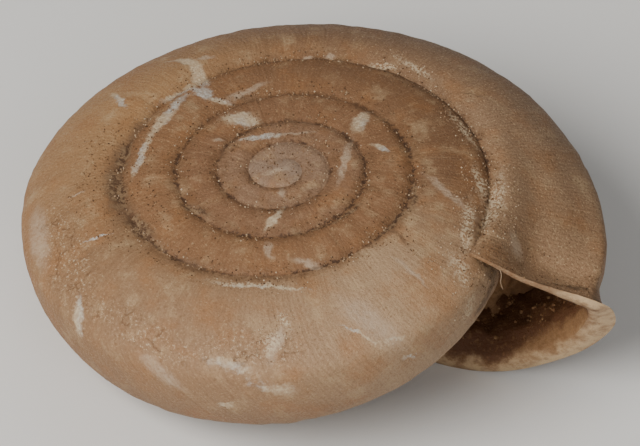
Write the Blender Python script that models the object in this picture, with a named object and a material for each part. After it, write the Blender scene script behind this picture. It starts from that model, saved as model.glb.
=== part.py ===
"""A flat coiled land snail shell, as one closed solid with its open mouth.

The shell is a tube that winds six times around an axis while it grows. Its section is drawn
once, as a function of the whorl number t, which runs from 0 at the tip to 6 at the mouth, and
is swept around the axis. Each whorl starts on the seam of the one before it, so the skin shares
its points along every seam, and the tube's hollow is cut back from the mouth.

Lengths are millimetres until the mesh is written. In a section, r is the distance from the
axis and z the height above the tip. The mouth ends at azimuth 0 and faces -Y.
"""

import math
from functools import lru_cache

import bmesh
import bpy
import numpy as np

MM = 0.001

# Growth of the coil
WHORLS = 6
RATE = 1.3                 # each whorl is this much larger than the last
SPIRAL = 3.572             # sets the size: radius = SPIRAL * (RATE ** (t + LEAD) - 1)
LEAD = 0.017               # the tip starts with this much of a turn behind it
SEAM_DRIFT = 0.80          # how far the last seam slides outwards
FIRST_TURN = 0.2           # where the tip's little cap ends, in whorls

# Section of a whorl at t = 5, where its size is 1
SIDE_REACH = 1.763         # the side stands this far outside the next seam
CROWN_AT = 0.19            # crown, as a share of the way from inner seam to side
CROWN_RISE = 0.03
SIDE_DROP = 2.418          # height of the tip above the side
SIDE_DROP_POWER = 1.966
BELLY = 4.974              # side down to base
BELLY_POWER = 0.9
BASE_AT = 0.705            # radius of the base, as a share of the side's radius
NAVEL_AT = 0.30            # radius of the navel, as a share of the side's radius
NAVEL_TOP = 0.35           # depth of the navel's end below the tip
CROWN_PULL = 0.304         # lengths of the curve handles, as shares of each quarter's legs
SHOULDER_PULL = 0.435
WAIST_PULL = 0.433
BASE_PULL = 0.491
ROUND_PULL = 0.552

# Wall and mouth
WALL = 0.40
LIP_WALL = 0.64
LIP_FROM = 5.90            # the wall thickens from here
SWELL = 0.42               # the last stretch widens by this much more
SWELL_FROM = 5.86
SWELL_TO = 5.97
MOUTH_DROP = 1.25          # the top of the mouth bends down by this much
DROP_FROM = 5.82
DROP_ACROSS = (0.6, 2.4)   # distances from the seam where the bend starts and is full
DROP_ABOVE_SIDE = (-0.4, 2.0)  # heights over the side where the bend fades and is full
MOUTH_BASE_AT = 0.56       # the base lies further in at the mouth
MOUTH_DEEPER = 0.30        # and this much lower
FLARE = 0.95               # the lip turns out by this much
INNER_FLARE = 0.40
FLARE_FROM = 5.98
LIP_FREE = (0.0, 0.12, 0.78, 1.0)  # shares of the section where the lip comes free and ends
CURL = 0.45                # and its upper edge curls back by this much
CURL_AT = (0.03, 0.20, 0.35, 0.60)
NECK = 0.20                # a shallow neck behind the lip
NECK_AT = 5.98
NECK_WIDTH = 0.012
LIP_ROUND = 0.16
SLANT = math.radians(26.5)  # the lip lies back by up to this much, towards the base
SLANT_DEPTH = 7.35
SEAM_SLOPE = 0.12
HOLLOW_WHORLS = 2.2        # how deep the hollow goes
HOLLOW_CROWN = 0.25        # the hollow's crown, at least this share of the way to the side
HOLLOW_SPACING = 1.15      # above 1, rings stand closer near the mouth
CORNER = 0.80              # from a seam to the hollow's corner
CORNER_MOST = 0.2          # but no more than this share of the whorl's hidden side

# How the shell lies on a table
REST_TILT = math.radians(11.4)
REST_TOWARDS = math.radians(-152.0)

# Fineness of the mesh
COARSE_STEPS = 32
FINE_STEPS = 5
FINE_FROM = 0.92
HOLLOW_STEPS = 22
TOP_CUTS = 5
CORNER_CUTS = 3
SIDE_CUTS = 10
NAVEL_CUTS = 2
CURVE_POINTS = 28

# Places of the seam, of the hollow's corners and of the navel along a section
SEAM = TOP_CUTS
UPPER_CORNER = SEAM + CORNER_CUTS
LOWER_CORNER = UPPER_CORNER + SIDE_CUTS
NAVEL = LOWER_CORNER + CORNER_CUTS
SECTION_CUTS = NAVEL + NAVEL_CUTS

SHELL_COLOUR = (0.43, 0.29, 0.17, 1.0)
SHELL_ROUGHNESS = 0.62
SHARP_ANGLE = math.radians(40.0)


def smooth(value, start, end):
    """Ease from 0 at start to 1 at end."""
    share = np.clip((value - start) / (end - start), 0.0, 1.0)
    return share * share * (3.0 - 2.0 * share)


def hump(value, rise, full, fall, end):
    """Ease from 0 up to 1 and back to 0."""
    return smooth(value, rise, full) * (1.0 - smooth(value, fall, end))


def spiral(t):
    """Radius of the growth spiral."""
    return SPIRAL * (RATE ** (t + LEAD) - 1.0)


def size(t):
    """Size of a whorl, 1 near the start of the last whorl."""
    return spiral(t) / spiral(WHORLS - 1 - LEAD)


def seam_radius(t):
    """Radius of the seam where whorl t + 1 sits on whorl t."""
    return spiral(t) + SEAM_DRIFT * max(0.0, t + LEAD - WHORLS + 2) ** 2


def side_radius(t):
    """Largest radius of the section."""
    reach = SIDE_REACH * min(1.0, (t + LEAD) / (WHORLS - 1))
    return spiral(t) + reach + SWELL * smooth(t, SWELL_FROM, SWELL_TO)


def quarter(start, end, rising, first_pull, last_pull):
    """A quarter arc as a cubic curve; rising says that it leaves its start upright."""
    start = np.array(start)
    end = np.array(end)
    leg = end - start
    upright = np.array((0.0, leg[1]))
    level = np.array((leg[0], 0.0))
    first, last = (upright, level) if rising else (level, upright)
    share = np.linspace(0.0, 1.0, CURVE_POINTS)[:, None]
    other = 1.0 - share
    points = other ** 3 * start
    points = points + 3.0 * other ** 2 * share * (start + first * first_pull)
    points = points + 3.0 * other * share ** 2 * (end - last * last_pull)
    return points + share ** 3 * end


def wall(t):
    """Thickness of the wall, which grows towards the lip."""
    return WALL + (LIP_WALL - WALL) * smooth(t, LIP_FROM, WHORLS)


@lru_cache(maxsize=None)
def landmarks(t):
    """Crown, side and base of the section at whorl t, as (r, z) pairs."""
    inner_radius = seam_radius(t - 1) if t > 1 else 0.0
    inner_height = seam_height(t - 1) if t > 1 else 0.0
    side_r = side_radius(t)
    crown = (inner_radius + CROWN_AT * (side_r - inner_radius), inner_height + CROWN_RISE * size(t))
    side = (side_r, -SIDE_DROP * size(t) ** SIDE_DROP_POWER)
    near_mouth = smooth(t, DROP_FROM, WHORLS)
    base_at = BASE_AT + (MOUTH_BASE_AT - BASE_AT) * near_mouth
    base = (base_at * side_r, side[1] - BELLY * size(t) ** BELLY_POWER - MOUTH_DEEPER * near_mouth)
    return crown, side, base


@lru_cache(maxsize=None)
def seam_height(t):
    """Height of the seam, where its radius meets the section's shoulder."""
    crown, side, _ = landmarks(t)
    shoulder = quarter(crown, side, False, CROWN_PULL, SHOULDER_PULL)
    return float(np.interp(seam_radius(t), shoulder[:, 0], shoulder[:, 1]))


@lru_cache(maxsize=None)
def navel_point(t):
    """Where the next whorl leaves this one, inside the navel."""
    if t <= 0:
        return 0.0, -NAVEL_TOP
    wall_curve = navel_wall(t)
    radius = NAVEL_AT * side_radius(t)
    height = np.interp(radius, wall_curve[::-1, 0], wall_curve[::-1, 1])
    return float(radius), float(height)


def navel_wall(t):
    """The inner wall of whorl t, from its base up to the whorl before it."""
    base = landmarks(t)[2]
    return quarter(base, navel_point(max(0.0, t - 1)), False, ROUND_PULL, ROUND_PULL)


def section_line(t):
    """The whole section at whorl t as one fine line, from inner seam to navel."""
    crown, side, base = landmarks(t)
    start = (seam_radius(t - 1), seam_height(t - 1)) if t > 1 else (0.0, 0.0)
    pieces = [
        quarter(start, crown, True, ROUND_PULL, ROUND_PULL),
        quarter(crown, side, False, CROWN_PULL, SHOULDER_PULL)[1:],
        quarter(side, base, True, WAIST_PULL, BASE_PULL)[1:],
        navel_wall(t)[1:],
    ]
    return np.concatenate(pieces)


def travel(line):
    """Distance along a line at each of its points."""
    steps = np.linalg.norm(np.diff(line, axis=0), axis=1)
    return np.concatenate(([0.0], np.cumsum(steps)))


def read_line(line, distances):
    """Points of a line at the given distances along it."""
    along = travel(line)
    columns = [np.interp(distances, along, line[:, axis]) for axis in (0, 1)]
    return np.stack(columns, axis=1)


@lru_cache(maxsize=None)
def section(t):
    """The section at whorl t, with its points at the same places on every whorl."""
    line = section_line(t)
    along = travel(line)
    half = int(np.argmax(line[:, 0]))
    seam = np.interp(seam_radius(t), line[:half, 0], along[:half])
    navel = np.interp(-navel_point(t)[0], -line[half:, 0], along[half:])
    corner = min(CORNER, CORNER_MOST * (navel - seam))
    stops = (0.0, seam, seam + corner, navel - corner, navel, along[-1])
    cuts = (TOP_CUTS, CORNER_CUTS, SIDE_CUTS, CORNER_CUTS, NAVEL_CUTS)
    distances = [np.zeros(1)]
    for start, end, count in zip(stops[:-1], stops[1:], cuts):
        distances.append(np.linspace(start, end, count + 1)[1:])
    return shape_mouth(read_line(line, np.concatenate(distances)), t, FLARE)


def shape_mouth(points, t, flare):
    """Bend the top of the last stretch down, narrow its neck and turn its lip out."""
    if t <= DROP_FROM:
        return points
    share = np.linspace(0.0, 1.0, len(points))
    free = hump(share, *LIP_FREE)
    along = np.gradient(points, axis=0)
    outward = np.stack((-along[:, 1], along[:, 0]), axis=1)
    outward /= np.maximum(np.linalg.norm(outward, axis=1), 1e-9)[:, None]
    turned = flare * max(0.0, (t - FLARE_FROM) / (WHORLS - FLARE_FROM)) ** 2
    neck = NECK * math.exp(-((t - NECK_AT) / NECK_WIDTH) ** 2)
    from_seam = points[:, 0] - seam_radius(t - 1)
    over_side = points[:, 1] - landmarks(t)[1][1]
    top = smooth(from_seam, *DROP_ACROSS) * smooth(over_side, *DROP_ABOVE_SIDE)
    moved = points + outward * ((turned - neck) * free)[:, None]
    moved[:, 1] -= MOUTH_DROP * smooth(t, DROP_FROM, WHORLS) * top
    return moved


def hollow_line(t):
    """The hollow's outer wall at whorl t, from its upper to its lower corner."""
    before = section(t - 1)
    upper = before[UPPER_CORNER]
    lower = before[LOWER_CORNER]
    crown, side, base = landmarks(t)
    thick = wall(t)
    inner_side = (side[0] - thick, side[1])
    inner_base = (base[0], base[1] + thick)
    crown_r = max(crown[0], upper[0] + HOLLOW_CROWN * (inner_side[0] - upper[0]))
    inner_crown = (crown_r, crown[1] - thick)
    pieces = [
        quarter(upper, inner_crown, True, ROUND_PULL, ROUND_PULL),
        quarter(inner_crown, inner_side, False, ROUND_PULL, SHOULDER_PULL)[1:],
        quarter(inner_side, inner_base, True, WAIST_PULL, BASE_PULL)[1:],
        quarter(inner_base, lower, False, ROUND_PULL, ROUND_PULL)[1:],
    ]
    line = np.concatenate(pieces)
    even = np.linspace(0.0, travel(line)[-1], SECTION_CUTS + 1)
    return shape_mouth(read_line(line, even), t, INNER_FLARE)


def slant(point):
    """How far a point lies back around the axis, from its depth below the seams."""
    depth = -SEAM_SLOPE * point[0] - point[1]
    return SLANT * (1.0 - math.exp(-depth / SLANT_DEPTH))


def place(point, t, forward=0.0):
    """Put a section's point in space; forward moves it out of the mouth."""
    azimuth = 2.0 * math.pi * (WHORLS - t) + slant(point)
    radial = (math.cos(azimuth), math.sin(azimuth))
    ahead = (math.sin(azimuth), -math.cos(azimuth))
    x = point[0] * radial[0] + forward * ahead[0]
    y = point[0] * radial[1] + forward * ahead[1]
    return x, y, point[1]


def curl(share):
    """How far the lip's outer edge lies back, from its place along the section."""
    return CURL * hump(share, *CURL_AT)


def turn_shares():
    """Where the sections of one whorl stand, finer towards the place of the lip."""
    coarse = np.linspace(0.0, FINE_FROM, COARSE_STEPS + 1)
    fine = np.linspace(FINE_FROM, 1.0, FINE_STEPS + 1)[1:]
    return np.concatenate((coarse, fine))


class Skin:
    """Collects the shell's points and faces."""

    def __init__(self):
        self.points = []
        self.faces = []

    def add(self, point):
        """Keep a point and return its number."""
        self.points.append(point)
        return len(self.points) - 1

    def strip(self, first, second):
        """Faces between two rows of points of the same length."""
        for a, b, c, d in zip(first[:-1], first[1:], second[1:], second[:-1]):
            corners = list(dict.fromkeys((a, b, c, d)))
            if len(corners) > 2:
                self.faces.append(corners)


def outer_rows(skin):
    """Rows of the outer skin; a whorl's first and last points are the seams of the one before."""
    shares = turn_shares()
    per_turn = len(shares) - 1
    top = skin.add((0.0, 0.0, 0.0))
    bottom = skin.add((0.0, 0.0, -NAVEL_TOP))
    rows = []
    for number in range(WHORLS * per_turn + 1):
        t = float(number // per_turn + shares[number % per_turn])
        if t <= FIRST_TURN:
            rows.append({k: top if k <= SEAM else bottom for k in range(SECTION_CUTS + 1)})
            continue
        seams = rows[number - per_turn] if number >= per_turn else rows[0]
        row = {0: seams[SEAM], SECTION_CUTS: seams[NAVEL]}
        line = section(t)
        for k in range(1, SECTION_CUTS):
            hidden = SEAM < k < NAVEL
            back = curl(k / SECTION_CUTS) if t == WHORLS else 0.0
            if not hidden or number >= (WHORLS - 1) * per_turn:
                row[k] = skin.add(place(line[k], t, -back))
        rows.append(row)
    return rows, per_turn


def cover(skin, rows, per_turn):
    """Faces of the tops, of the navel and of the whole last whorl."""
    last = (WHORLS - 1) * per_turn
    for number in range(WHORLS * per_turn):
        spans = ((0, SECTION_CUTS),) if number >= last else ((0, SEAM), (NAVEL, SECTION_CUTS))
        for start, end in spans:
            keys = range(start, end + 1)
            skin.strip([rows[number][k] for k in keys], [rows[number + 1][k] for k in keys])


def hollow_ring(skin, t):
    """One ring around the hollow: the outer wall, then the whorl behind it."""
    outer = [skin.add(place(point, t)) for point in hollow_line(t)]
    before = section(t - 1)
    back = [before[k] for k in range(LOWER_CORNER - 1, UPPER_CORNER, -1)]
    return outer + [skin.add(place(point, t)) for point in back]


def mouth_ring(skin, mouth_row):
    """The ring at the mouth, which shares the points of the whorl behind it."""
    line = hollow_line(float(WHORLS))
    outer = [skin.add(place(point, WHORLS)) for point in line[1:-1]]
    back = [mouth_row[k] for k in range(LOWER_CORNER - 1, UPPER_CORNER, -1)]
    return [mouth_row[UPPER_CORNER]] + outer + [mouth_row[LOWER_CORNER]] + back


def lip(skin, edge_row, ring, mouth_row):
    """The rounded lip, from the outer edge to the hollow's edge."""
    outer = section(float(WHORLS))
    inner = hollow_line(float(WHORLS))
    previous = [edge_row[k] for k in range(SECTION_CUTS + 1)]
    for cut in range(1, CORNER_CUTS + 1):
        share = cut / CORNER_CUTS
        if cut == CORNER_CUTS:
            current = ring[: SECTION_CUTS + 1]
        else:
            forward = LIP_ROUND * math.sin(math.pi * share)
            middle = outer + (inner - outer) * share
            current = [skin.add(place(point, WHORLS, forward)) for point in middle[1:-1]]
            current = [mouth_row[SEAM + cut]] + current + [mouth_row[NAVEL - cut]]
        skin.strip(previous, current)
        previous = current


def hollow(skin, edge_row, mouth_row):
    """The hollow from the mouth inwards, with a rounded end."""
    ring = mouth_ring(skin, mouth_row)
    lip(skin, edge_row, ring, mouth_row)
    steps = int(HOLLOW_WHORLS * HOLLOW_STEPS)
    for step in range(1, steps + 1):
        t = WHORLS - HOLLOW_WHORLS * (step / steps) ** HOLLOW_SPACING
        deeper = hollow_ring(skin, t)
        skin.strip(ring + ring[:1], deeper + deeper[:1])
        ring = deeper
    centre = np.mean([skin.points[k] for k in ring], axis=0)
    end = skin.add(tuple(centre))
    skin.strip(ring + ring[:1], [end] * (len(ring) + 1))


def lay_down(points):
    """Tilt the shell onto its base and put the origin under its middle."""
    axis = np.array((-math.sin(REST_TOWARDS), math.cos(REST_TOWARDS), 0.0))
    cos, sin = math.cos(REST_TILT), math.sin(REST_TILT)
    along = points @ axis
    turned = points * cos + np.cross(axis, points) * sin + np.outer(along, axis) * (1.0 - cos)
    low, high = turned.min(axis=0), turned.max(axis=0)
    origin = np.array(((low[0] + high[0]) / 2, (low[1] + high[1]) / 2, low[2]))
    return turned - origin


def shell_material():
    """Dull tan shell."""
    material = bpy.data.materials.new("shell")
    material.use_nodes = True
    shader = material.node_tree.nodes["Principled BSDF"]
    shader.inputs["Base Color"].default_value = SHELL_COLOUR
    shader.inputs["Roughness"].default_value = SHELL_ROUGHNESS
    shader.inputs["Metallic"].default_value = 0.0
    return material


def make_shell():
    """Build the shell's mesh and its object."""
    skin = Skin()
    rows, per_turn = outer_rows(skin)
    cover(skin, rows, per_turn)
    hollow(skin, rows[-1], rows[(WHORLS - 1) * per_turn])
    points = lay_down(np.array(skin.points)) * MM
    mesh = bpy.data.meshes.new("shell")
    mesh.from_pydata(points.tolist(), [], skin.faces)
    work = bmesh.new()
    work.from_mesh(mesh)
    bmesh.ops.recalc_face_normals(work, faces=work.faces)
    bmesh.ops.triangulate(work, faces=work.faces)
    work.to_mesh(mesh)
    work.free()
    mesh.shade_smooth()
    mesh.set_sharp_from_angle(angle=SHARP_ANGLE)
    mesh.materials.append(shell_material())
    shell = bpy.data.objects.new("shell", mesh)
    bpy.context.scene.collection.objects.link(shell)
    return shell


for item in list(bpy.data.objects):
    bpy.data.objects.remove(item, do_unlink=True)
make_shell()
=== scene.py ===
"""A worn, flat-coiled land snail shell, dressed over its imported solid.

The skin is drawn again from the shell's growth laws on a fine grid, with growth wrinkles, sunken
seams and a soil crust inside the mouth. A plug of dried soil closes the tube, a root hair hangs
from the lip, and soil and sand lie along the seams, on worn places and in the mouth. Until a mesh
is written, lengths are millimetres in the shell's own upright frame: the tip is the origin, the
axis is vertical, and the mouth ends at azimuth 0.
"""

import logging
import math
from dataclasses import dataclass, field
from enum import Enum
from functools import lru_cache
from itertools import combinations

import bpy
import numpy as np
from mathutils import Matrix, Vector


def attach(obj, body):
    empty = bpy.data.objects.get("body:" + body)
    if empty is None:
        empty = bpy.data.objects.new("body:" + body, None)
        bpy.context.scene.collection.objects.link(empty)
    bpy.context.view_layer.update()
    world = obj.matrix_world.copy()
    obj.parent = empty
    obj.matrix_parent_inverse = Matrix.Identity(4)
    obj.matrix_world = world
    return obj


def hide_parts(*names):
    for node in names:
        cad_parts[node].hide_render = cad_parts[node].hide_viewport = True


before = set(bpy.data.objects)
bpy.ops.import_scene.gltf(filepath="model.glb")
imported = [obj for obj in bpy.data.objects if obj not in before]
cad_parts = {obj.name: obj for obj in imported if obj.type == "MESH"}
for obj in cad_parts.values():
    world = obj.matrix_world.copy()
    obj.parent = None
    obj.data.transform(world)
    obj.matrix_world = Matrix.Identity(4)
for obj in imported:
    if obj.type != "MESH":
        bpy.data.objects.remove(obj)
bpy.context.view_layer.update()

LOG = logging.getLogger("snail_shell")
MM = 0.001
BODY = "root"
NODE = "shell"
FULL_TURN = 2.0 * math.pi
FAR_FROM_SEAM = 9.0
FAR_FROM_MOUTH = 20.0
TINY = 1e-9

Array = np.ndarray
Amount = np.ndarray | float
Socket = bpy.types.NodeSocket
Rgb = tuple[int, int, int]
Pair = tuple[float, float]
Triple = tuple[float, float, float]
Four = tuple[float, float, float, float]


def smooth(value: Amount, start: float, end: float) -> Amount:
    """Ease from 0 at start to 1 at end.

    Args:
        value: where to read the curve.
        start: the last value that gives 0.
        end: the first value that gives 1.

    Returns:
        The eased share, shaped like value.
    """
    share = np.clip((value - start) / (end - start), 0.0, 1.0)
    return share * share * (3.0 - 2.0 * share)


def hump(value: Amount, rise: float, full: float, fall: float, end: float) -> Amount:
    """Ease from 0 at rise to 1 at full, and from 1 at fall back to 0 at end."""
    return smooth(value, rise, full) * (1.0 - smooth(value, fall, end))


def tone(rgb: Rgb) -> Four:
    """A colour from its screen values.

    Args:
        rgb: red, green and blue, each from 0 to 255.

    Returns:
        The colour in linear light, opaque.
    """
    shares = [channel / 255.0 for channel in rgb]
    red, green, blue = (s / 12.92 if s <= 0.04045 else ((s + 0.055) / 1.055) ** 2.4 for s in shares)
    return red, green, blue, 1.0


def unit(vectors: Array) -> Array:
    """Vectors, along the last axis, at length 1."""
    return vectors / np.maximum(np.linalg.norm(vectors, axis=-1, keepdims=True), TINY)


def travel(line: Array) -> Array:
    """Distance along a line at each of its points."""
    steps = np.linalg.norm(np.diff(line, axis=0), axis=1)
    return np.concatenate(([0.0], np.cumsum(steps)))


def read_line(line: Array, distances: Array) -> Array:
    """Points of a line at the given distances along it."""
    along = travel(line)
    return np.stack([np.interp(distances, along, line[:, axis]) for axis in (0, 1)], axis=1)


@dataclass(frozen=True)
class Cuts:
    """How finely the skin is cut."""

    top: int = 20
    corner: int = 7
    side: int = 44
    navel: int = 5
    coarse_rows: int = 236
    fine_rows: int = 40
    fine_from: float = 0.965
    hollow_rings: int = 190
    curve_points: int = 48

    @property
    def seam(self) -> int:
        """Place of the outer seam along a section."""
        return self.top

    @property
    def upper(self) -> int:
        """Place of the hollow's upper corner."""
        return self.seam + self.corner

    @property
    def lower(self) -> int:
        """Place of the hollow's lower corner."""
        return self.upper + self.side

    @property
    def inner_seam(self) -> int:
        """Place where the next whorl leaves, inside the navel."""
        return self.lower + self.corner

    @property
    def last(self) -> int:
        """Last place along a section."""
        return self.inner_seam + self.navel

    @property
    def per_turn(self) -> int:
        """Rows in one turn."""
        return self.coarse_rows + self.fine_rows

    def shares(self) -> Array:
        """Where each place stands along a section, from 0 to 1."""
        return np.linspace(0.0, 1.0, self.last + 1)

    def turn_shares(self) -> Array:
        """Where the rows of one turn stand, finer towards the place of the lip."""
        coarse = np.linspace(0.0, self.fine_from, self.coarse_rows + 1)
        return np.concatenate((coarse, np.linspace(self.fine_from, 1.0, self.fine_rows + 1)[1:]))


@dataclass(frozen=True)
class LipEdge:
    """How one edge of the lip leaves the plain section; places are shares along the section."""

    flare: float
    low_flare: float
    sag: float
    sag_at: Four
    lift: float = 0.76
    lift_at: Four = (0.0, 0.02, 0.042, 0.075)
    low_at: Four = (0.34, 0.42, 0.48, 0.60)
    bend_from: float = 5.945


@dataclass(frozen=True, eq=False)
class GrowthLaw:
    """How the tube grows around the axis; t counts the turns from the tip."""

    cuts: Cuts = field(default_factory=Cuts)
    whorls: int = 6
    rate: float = 1.3
    spiral_size: float = 3.572
    lead: float = 0.017
    seam_drift: float = 0.80
    side_reach: float = 1.763
    crown_at: float = 0.19
    crown_rise: float = 0.03
    side_drop: float = 2.418
    side_drop_power: float = 1.966
    belly: float = 4.974
    belly_power: float = 0.9
    base_at: float = 0.705
    navel_at: float = 0.30
    navel_top: float = 0.35
    crown_pull: float = 0.304
    shoulder_pull: float = 0.435
    waist_pull: float = 0.433
    base_pull: float = 0.491
    round_pull: float = 0.552
    wall_thick: float = 0.40
    lip_wall: float = 0.64
    lip_from: float = 5.90
    swell: float = 0.42
    swell_at: Pair = (5.86, 5.97)
    mouth_drop: float = 1.25
    drop_from: float = 5.82
    drop_across: Pair = (0.6, 2.4)
    drop_above_side: Pair = (-0.4, 2.0)
    mouth_base_at: float = 0.56
    mouth_deeper: float = 0.30
    outer_edge: LipEdge = LipEdge(0.95, 0.24, 0.64, (0.035, 0.095, 0.115, 0.20))
    inner_edge: LipEdge = LipEdge(0.40, 0.14, 0.50, (0.03, 0.08, 0.15, 0.30))
    flare_from: float = 5.982
    lip_free: Four = (0.0, 0.12, 0.78, 1.0)
    curl_back: float = 0.45
    curl_at: Four = (0.03, 0.20, 0.35, 0.60)
    curl_from: float = 5.994
    neck: float = 0.07
    neck_at: float = 5.98
    neck_width: float = 0.012
    lip_round: float = 0.16
    lean: float = math.radians(26.5)
    lean_depth: float = 7.35
    seam_slope: float = 0.12
    hollow_whorls: float = 2.2
    hollow_crown: float = 0.25
    hollow_spacing: float = 1.6
    corner: float = 0.26
    corner_most: float = 0.2

    def spiral(self, t: float) -> float:
        """Radius of the growth spiral."""
        return self.spiral_size * (self.rate ** (t + self.lead) - 1.0)

    def size(self, t: float) -> float:
        """Size of a whorl, 1 near the start of the last one."""
        return self.spiral(t) / self.spiral(self.whorls - 1 - self.lead)

    def before(self, t: float) -> float:
        """The place one turn earlier, rounded so that it is found again."""
        return round(t - 1.0, 9)

    def seam_radius(self, t: float) -> float:
        """Radius of the seam where whorl t + 1 sits on whorl t."""
        late = max(0.0, t + self.lead - self.whorls + 2)
        return self.spiral(t) + self.seam_drift * late ** 2

    def side_radius(self, t: float) -> float:
        """Largest radius of the section."""
        reach = self.side_reach * min(1.0, (t + self.lead) / (self.whorls - 1))
        return self.spiral(t) + reach + self.swell * float(smooth(t, *self.swell_at))

    def wall(self, t: float) -> float:
        """Thickness of the wall, which grows towards the lip."""
        near = float(smooth(t, self.lip_from, self.whorls))
        return self.wall_thick + (self.lip_wall - self.wall_thick) * near

    def quarter(self, start: tuple, end: tuple, rising: bool, first: float, last: float) -> Array:
        """A quarter arc as a cubic curve.

        Args:
            start: where it starts, as r and z.
            end: where it ends, as r and z.
            rising: whether it leaves its start upright.
            first: length of its first handle, as a share of the leg.
            last: length of its last handle, as a share of the leg.

        Returns:
            Points along the arc, one pair a row.
        """
        start, end = np.array(start), np.array(end)
        leg = end - start
        upright, level = np.array((0.0, leg[1])), np.array((leg[0], 0.0))
        leaves, arrives = (upright, level) if rising else (level, upright)
        share = np.linspace(0.0, 1.0, self.cuts.curve_points)[:, None]
        other = 1.0 - share
        points = other ** 3 * start + share ** 3 * end
        points = points + 3.0 * other ** 2 * share * (start + leaves * first)
        return points + 3.0 * other * share ** 2 * (end - arrives * last)

    @lru_cache(maxsize=None)
    def landmarks(self, t: float) -> tuple[Pair, Pair, Pair]:
        """Crown, side and base of a section, each as r and z.

        Args:
            t: the whorl.

        Returns:
            The three places.
        """
        inner_r = self.seam_radius(self.before(t)) if t > 1 else 0.0
        inner_z = self.seam_height(self.before(t)) if t > 1 else 0.0
        side_r = self.side_radius(t)
        crown_z = inner_z + self.crown_rise * self.size(t)
        crown = (inner_r + self.crown_at * (side_r - inner_r), crown_z)
        side = (side_r, -self.side_drop * self.size(t) ** self.side_drop_power)
        near = float(smooth(t, self.drop_from, self.whorls))
        base_r = (self.base_at + (self.mouth_base_at - self.base_at) * near) * side_r
        base_z = side[1] - self.belly * self.size(t) ** self.belly_power - self.mouth_deeper * near
        return crown, side, (base_r, base_z)

    @lru_cache(maxsize=None)
    def seam_height(self, t: float) -> float:
        """Height of the seam, where its radius meets the shoulder.

        Args:
            t: the whorl.

        Returns:
            The height, below the tip.
        """
        crown, side, _ = self.landmarks(t)
        shoulder = self.quarter(crown, side, False, self.crown_pull, self.shoulder_pull)
        return float(np.interp(self.seam_radius(t), shoulder[:, 0], shoulder[:, 1]))

    @lru_cache(maxsize=None)
    def navel_point(self, t: float) -> Pair:
        """Where the next whorl leaves this one, inside the navel.

        Args:
            t: the whorl.

        Returns:
            The place, as r and z.
        """
        if t <= 0:
            return 0.0, -self.navel_top
        line = self.navel_wall(t)
        radius = self.navel_at * self.side_radius(t)
        return float(radius), float(np.interp(radius, line[::-1, 0], line[::-1, 1]))

    def navel_wall(self, t: float) -> Array:
        """The wall from the base up to the whorl before."""
        end = self.navel_point(max(0.0, self.before(t)))
        return self.quarter(self.landmarks(t)[2], end, False, self.round_pull, self.round_pull)

    def section_line(self, t: float) -> Array:
        """The whole section as one fine line.

        Args:
            t: the whorl.

        Returns:
            Pairs of r and z, from the inner seam to the navel.
        """
        crown, side, base = self.landmarks(t)
        inner = self.before(t)
        start = (self.seam_radius(inner), self.seam_height(inner)) if t > 1 else (0.0, 0.0)
        return np.concatenate([
            self.quarter(start, crown, True, self.round_pull, self.round_pull),
            self.quarter(crown, side, False, self.crown_pull, self.shoulder_pull)[1:],
            self.quarter(side, base, True, self.waist_pull, self.base_pull)[1:],
            self.navel_wall(t)[1:],
        ])

    @lru_cache(maxsize=None)
    def section(self, t: float) -> Array:
        """The section with its points at the same places on every whorl.

        Args:
            t: the whorl.

        Returns:
            One pair of r and z for each place along the section.
        """
        line = self.section_line(t)
        along = travel(line)
        half = int(np.argmax(line[:, 0]))
        seam = float(np.interp(self.seam_radius(t), line[:half, 0], along[:half]))
        navel = float(np.interp(-self.navel_point(t)[0], -line[half:, 0], along[half:]))
        corner = min(self.corner, self.corner_most * (navel - seam))
        stops = (0.0, seam, seam + corner, navel - corner, navel, along[-1])
        cuts = self.cuts
        counts = (cuts.top, cuts.corner, cuts.side, cuts.corner, cuts.navel)
        distances = [np.zeros(1)]
        for start, end, count in zip(stops[:-1], stops[1:], counts):
            distances.append(np.linspace(start, end, count + 1)[1:])
        return self.shape_mouth(read_line(line, np.concatenate(distances)), t, self.outer_edge)

    def shape_mouth(self, points: Array, t: float, edge: LipEdge) -> Array:
        """Bend the top of the last stretch down, narrow its neck and turn its lip out.

        Args:
            points: a section or the hollow's outer wall.
            t: the whorl.
            edge: how the lip's edge is shaped.

        Returns:
            The moved points.
        """
        if t <= self.drop_from:
            return points
        share = np.linspace(0.0, 1.0, len(points))
        along = np.gradient(points, axis=0)
        outward = unit(np.stack((-along[:, 1], along[:, 0]), axis=1))
        flare = edge.flare + edge.low_flare * hump(share, *edge.low_at)
        late = max(0.0, (t - self.flare_from) / (self.whorls - self.flare_from))
        neck = self.neck * math.exp(-((t - self.neck_at) / self.neck_width) ** 2)
        turned = (flare * late ** 2 - neck) * hump(share, *self.lip_free)
        moved = points + outward * turned[:, None]
        from_seam = points[:, 0] - self.seam_radius(self.before(t))
        over_side = points[:, 1] - self.landmarks(t)[1][1]
        top = smooth(from_seam, *self.drop_across) * smooth(over_side, *self.drop_above_side)
        moved[:, 1] -= self.mouth_drop * smooth(t, self.drop_from, self.whorls) * top
        bent = edge.lift * hump(share, *edge.lift_at) - edge.sag * hump(share, *edge.sag_at)
        moved[:, 1] += bent * smooth(t, edge.bend_from, self.whorls)
        return moved

    def under(self, t: float) -> Array:
        """The stretch of the whorl before that closes the hollow."""
        return self.section(self.before(t))[self.cuts.lower - 1: self.cuts.upper: -1]

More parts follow.
